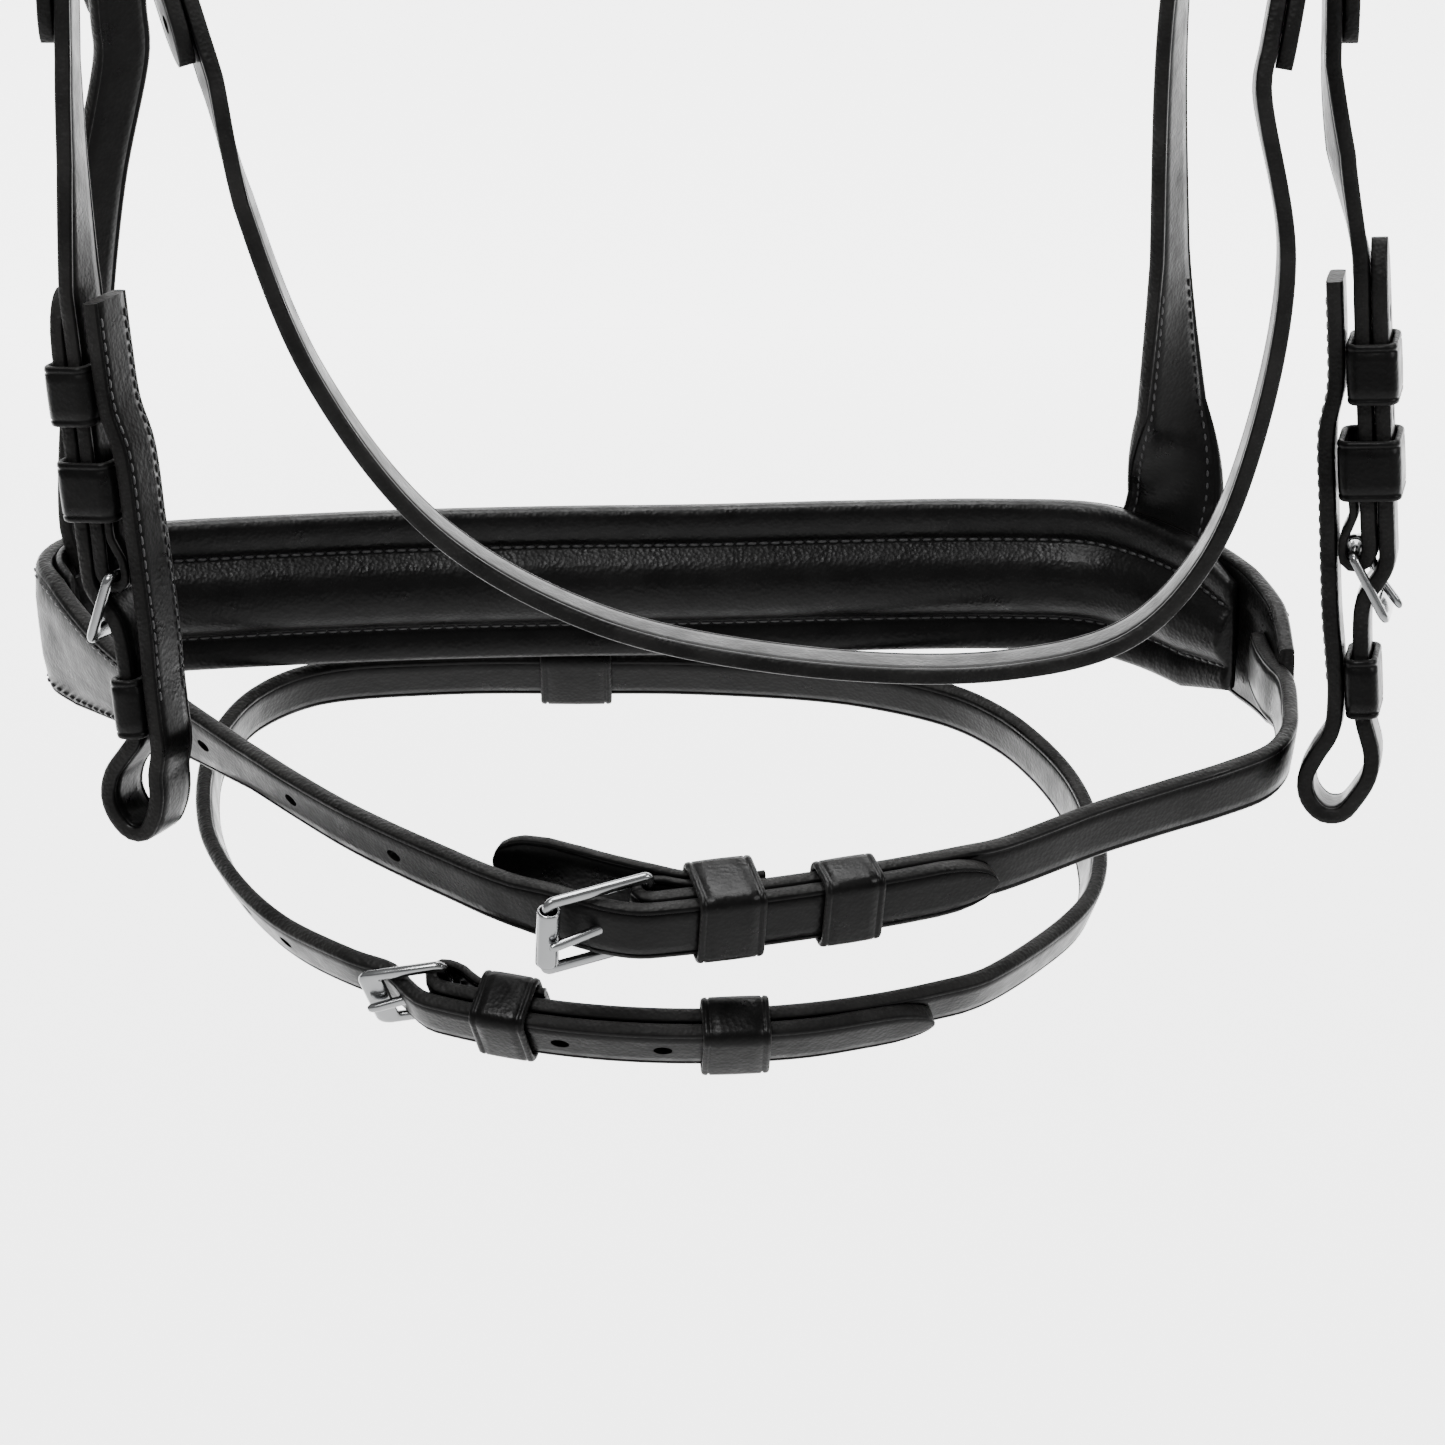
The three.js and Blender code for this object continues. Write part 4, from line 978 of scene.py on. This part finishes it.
def band_section(width, thick):
    """The wide part of the band is raised on its outer face, over a filling between its stitch rows."""
    rise = min(max((width - 20) / 8, 0), 1) * 1.3
    half = width / 2
    return [
        (u, v - rise * (1 - (u / half) ** 4) if v < 0 and not edge else v, edge)
        for u, v, edge in strap_section(width, thick)
    ]


def nose_pad_section(width, thick):
    """Flat where it meets the band; on the inside a crowned middle between two seams, and rolled edges."""
    half, top = width / 2, thick / 2
    face = [
        (1.0, -0.55), (1.0, -0.2), (0.97, 0.02), (0.9, 0.14), (0.78, 0.16), (0.64, 0.08), (0.55, -0.12),
        (SEAM_HIGH, -0.26), (0.45, -0.08), (0.36, 0.42), (0.24, 0.78), (0.08, 0.97), (-0.08, 1.0),
        (-0.24, 0.9), (-0.38, 0.58), (-0.48, 0.12), (SEAM_LOW, -0.26), (-0.61, -0.12), (-0.7, 0.06),
        (-0.82, 0.14), (-0.92, 0.1), (-0.98, -0.04), (-1.0, -0.3), (-1.0, -0.6),
    ]
    back = [
        (-0.96, -0.92), (-0.85, -1.0), (-0.4, -1.0), (0.0, -1.0), (0.4, -1.0), (0.85, -1.0), (0.96, -0.92),
    ]
    return [(u * half, v * top, False) for u, v in face + back]


def inward_first(route):
    """Turns a route round if the section's upper face would look outwards."""
    samples = sample_route(route, 20)
    middle = samples[len(samples) // 2]
    return route if middle["normal"][1] < 0 else route[::-1]


def add_noseband():
    far = ring_stops(FAR_BAND, NOSE_PLANE, BAND_HEIGHT, LEATHER)
    far[0]["width"], far[1]["width"] = 20, 29
    near = ring_stops(NEAR_BAND, NOSE_PLANE, NOSE_WIDTH, LEATHER)
    for i, width in enumerate((26, 21, 16.5)):
        near[i]["width"] = width
    turn = ring_stops(BILLET_TURN, NOSE_PLANE, NOSE_WIDTH, LEATHER)
    billet = billet_stops(CHIN, NOSE_WIDTH, 72, [(18, -1.4), (12.5, 2.4), (8, 4.9), (3, 6.6)])
    plan = [(-104, -3, 20), (-84, -28.5, 20), (-61.5, -54, 18)]
    holes = [s["p"] for s in ring_stops(plan, NOSE_PLANE, NOSE_WIDTH, LEATHER)]
    route = [*far, *near, *turn, *billet]
    _, samples = strap_mesh(
        "nose_band_look", route, "nose_band", "noseband", section=band_section, holes=holes
    )
    outer_face = 1 if samples[80]["normal"] @ vec(0, 1, 0) > 0 else -1
    raised = 1.4 * outer_face
    sewn("nose_band_stitching", samples, "noseband", both_edges(0.84, raised), 12, 372)

    pad_route = FAR_BAND[2:]
    inset = LEATHER / 2 + 2 * GAP
    pad = ring_stops(pad_route, NOSE_PLANE, NOSE_PAD_HEIGHT, NOSE_PAD_THICK, inset + NOSE_PAD_THICK / 2)
    last = len(pad) - 1
    tapers = ((0, 5, 26), (last - 3, 6.5, 36), (last - 2, 5, 35), (last - 1, 4, 33), (last, 3.6, 30))
    for i, thick, height in tapers:
        pad[i] = ring_stops(pad_route, NOSE_PLANE, height, thick, inset + thick / 2)[i]
    soft, samples = strap_mesh(
        "nose_pad_look", inward_first(pad), "nose_pad", "noseband", NOSE_PAD_STEP, nose_pad_section,
        [PADDING],
    )
    rows = [(SEAM_HIGH, -0.2), (SEAM_LOW, -0.2)]
    spots = [spot for across, lift in rows for spot in along_strap(samples, across, lift, 2)]
    places = [(centre, tangent, -normal) for centre, tangent, normal in spots]
    capsules(
        "nose_pad_stitching", places, "noseband", PAD_STITCH_LENGTH, PAD_STITCH_GIRTH, THREAD,
    )

    free = ring_stops(CHIN_ROUTE, NOSE_PLANE, NOSE_WIDTH, LEATHER)
    chape = chape_stops(CHIN, NOSE_WIDTH, 24, -74)[::-1]
    strap_mesh("chin_strap_look", [*free, *chape], "chin_strap", "noseband")
    stops = [CHIN.stop(s, h, width, GUARD_TAB_THICK) for s, h, width in GUARD_TAB]
    strap_mesh("buckle_guard_tab_look", stops, "buckle_guard_tab", "noseband")
    add_buckle("noseband", CHIN, NOSE_WIDTH, CHIN_BUCKLE)
    roller("noseband_buckle_roller", "noseband_roller", CHIN, NOSE_WIDTH, CHIN_BUCKLE)
    keeper("noseband_keeper", "noseband", CHIN, -15, NOSE_WIDTH, -3.5, BILLET_TOP, 14)
    keeper("noseband_runner", "noseband_runner", CHIN, -40, NOSE_WIDTH, MAIN_UNDER, BILLET_TOP, 13)


# -------- noseband headstrap


def add_headstrap():
    over = arch_stops(HEADSTRAP_LEVEL, [9, 8, 7, 4, *LEVEL[4:]], CHEEK_WIDTH, LEATHER)
    strap_mesh("headstrap_look", over, "headstrap", "crown")
    hanger_end = -421.5
    right = [
        stop((HEADSTRAP_SIDE, 9, FLEX_LEVEL + 0.4), (0, 1, 0), CHEEK_WIDTH),
        stop((122, 17, -200), (0.1, 1, 0), CHEEK_WIDTH),
        stop((109, 30, -245), (0.2, 1, 0), CHEEK_WIDTH),
        stop((101.5, 42, -298), (0.33, 0.94, 0), CHEEK_WIDTH),
        stop((102, 56, -360), (0.5, 0.85, 0), CHEEK_WIDTH + 1),
        stop((103.5, 64, -396), (0.7, 0.4, 0), CHEEK_WIDTH + 4),
        stop((105, 70.5, hanger_end + 1.5), (0.8, -0.6, 0), CHEEK_WIDTH + 11),
        stop((102.5, 69, hanger_end - 8), (0.8, -0.6, 0), CHEEK_WIDTH + 13),
    ]
    hanger, samples = strap_mesh("hanger_right_look", right, "hanger_right", None)
    flexed(hanger)
    sewn("hanger_right_stitching", samples, "noseband", both_edges(0.72, 1, -1), 205)
    tail = [
        stop((-HEADSTRAP_SIDE, 9, FLEX_LEVEL + 0.4), (0, 1, 0), CHEEK_WIDTH),
        stop((-127, 17, -200), (0.25, 0.95, 0), CHEEK_WIDTH),
        stop((-125, 26, -226), (0.6, 0.75, 0.1), CHEEK_WIDTH),
    ]
    route = [*tail, *billet_stops(HEAD, CHEEK_WIDTH, 46, under_front_bar(HEAD_BUCKLE))]
    holes = [hole_at(HEAD, s) for s in (-25, -37)]
    billet, _ = strap_mesh("headstrap_billet_look", route, "headstrap_billet", None, holes=holes)
    flexed(billet)
    hanger = [
        *chape_stops(HEAD, CHEEK_WIDTH, 22, -50),
        stop((-130, 57, -345), (0.75, 0.6, 0), CHEEK_WIDTH),
        stop((-134, 59, -385), (0.6, 0.8, 0), CHEEK_WIDTH),
        stop((-136, 60, hanger_end), (0.5, 0.85, 0), CHEEK_WIDTH),
        stop((-134, 61, hanger_end - 9), (0.3, 0.95, 0), CHEEK_WIDTH),
    ]
    strap_mesh("hanger_left_look", hanger, "hanger_left", "noseband")
    add_buckle("headstrap", HEAD, CHEEK_WIDTH, HEAD_BUCKLE)
    keeper("headstrap_keeper", "noseband", HEAD, -13, CHEEK_WIDTH, RETURN_UNDER, BILLET_TOP, 11)


# -------- flash strap

FLASH_ROUTE = [
    (-84, -33, 30), (-92, -21.5, 30), (-99.5, -6, 28), (-104, 8, 22), (-107, 30, 8), (-106, 52, -4),
    (-99, 72, -14), (-86, 84, -20), (-58, 89, -22), (-28, 89.5, -22), (0, 89, -22), (33, 84, -22),
    (55, 74, -18), (66, 63, -12), (74, 49, -6), (80.5, 31, 2), (83.5, 12, 10), (84, -6, 16),
    (81, -21, 22), (74, -34, 26),
]


def add_flash():
    billet = billet_stops(FLASH, FLASH_WIDTH, 100, under_front_bar(FLASH_BUCKLE))[::-1]
    ring = ring_stops(FLASH_ROUTE, FLASH_PLANE, FLASH_WIDTH, LEATHER)
    chape = chape_stops(FLASH, FLASH_WIDTH, 22, -112)[::-1]
    plan = [(-103, 4, 22), (-94, -18, 28), (-85, -31.5, 30)]
    holes = [s["p"] for s in ring_stops(plan, FLASH_PLANE, FLASH_WIDTH, LEATHER)]
    holes += [hole_at(FLASH, s) for s in (-26, -46)]
    strap_mesh("flash_strap_look", [*billet, *ring, *chape], "flash_strap", "flash", holes=holes)
    add_buckle("flash", FLASH, FLASH_WIDTH, FLASH_BUCKLE)
    keeper("flash_keeper", "flash", FLASH, -14.5, FLASH_WIDTH, RETURN_UNDER, BILLET_TOP, 12)
    low, high = MAIN_UNDER - RUNNER_PLAY, BILLET_TOP + RUNNER_PLAY
    keeper("flash_runner", "flash_runner", FLASH, -60, FLASH_WIDTH, low, high, 14)
    centre = ring_stops(FLASH_ROUTE[8:11], FLASH_PLANE, FLASH_WIDTH, LEATHER)[1]
    along = vec(1, 0, 0)
    outward = -unit(np.cross(along, centre["w"]))
    at = {"position": centre["p"], "along": along, "width": centre["w"], "outward": outward}
    keeper_mesh("flash_loop", "flash", at, FLASH_WIDTH + 1, -LEATHER / 2, LEATHER / 2, 16)


# -------- studio, in metres and watts

LAMPS = {  # (place, size, power)
    "key": ((-0.5, -1.0, 1.1), 0.6, 26),
    "fill": ((1.3, -0.5, 0.3), 0.4, 7),
    "top": ((0.1, 0.2, 1.0), 0.9, 34),
}
LAMP_TARGET = Vector((0, 0, -0.42))
WORLD_LIGHT = 0.32


def add_studio():
    """A floor well below the bridle, which turns up into a wall far behind it."""
    mesh = bpy.data.meshes.new("floor")
    reach, level, far, top = 6.0, -1.5, 5.0, 5.5
    corners = [(-reach, -reach, level), (reach, -reach, level), (reach, far, level), (-reach, far, level)]
    corners += [(reach, far, top), (-reach, far, top)]
    mesh.from_pydata(corners, [], [(0, 1, 2, 3), (3, 2, 4, 5)])
    mesh.materials.append(studio("studio_paper"))
    floor = bpy.data.objects.new("floor", mesh)
    bpy.context.scene.collection.objects.link(floor)
    world = bpy.data.worlds.new("studio")
    bpy.context.scene.world = world
    world.use_nodes = True
    background = world.node_tree.nodes["Background"]
    background.inputs["Color"].default_value = (1, 1, 1, 1)
    background.inputs["Strength"].default_value = WORLD_LIGHT
    for name, (place, size, power) in LAMPS.items():
        lamp(name, place, size, power)


def lamp(name, place, size, power):
    light = bpy.data.lights.new(name, "AREA")
    light.size = size
    light.energy = power
    made = bpy.data.objects.new(name, light)
    made.location = place
    made.rotation_euler = (LAMP_TARGET - Vector(place)).to_track_quat("-Z", "Y").to_euler()
    bpy.context.scene.collection.objects.link(made)


def add_camera():
    lens, distance, tilt = 175.6, 1.5, math.radians(16)
    target = Vector((0.005, 0, -0.45))
    back = Vector((0, -math.cos(tilt), math.sin(tilt)))
    camera = bpy.data.objects.new("camera", bpy.data.cameras.new("camera"))
    camera.data.lens = lens
    camera.data.clip_start = 0.05
    camera.data.clip_end = 50
    camera.location = target + back * distance
    camera.rotation_euler = (-back).to_track_quat("-Z", "Y").to_euler()
    bpy.context.scene.collection.objects.link(camera)
    bpy.context.scene.camera = camera


for side in SIDES:
    add_cheek(side)
add_throatlash()
add_headpiece()
add_browband()
add_noseband()
add_headstrap()
add_flash()
add_studio()
add_camera()
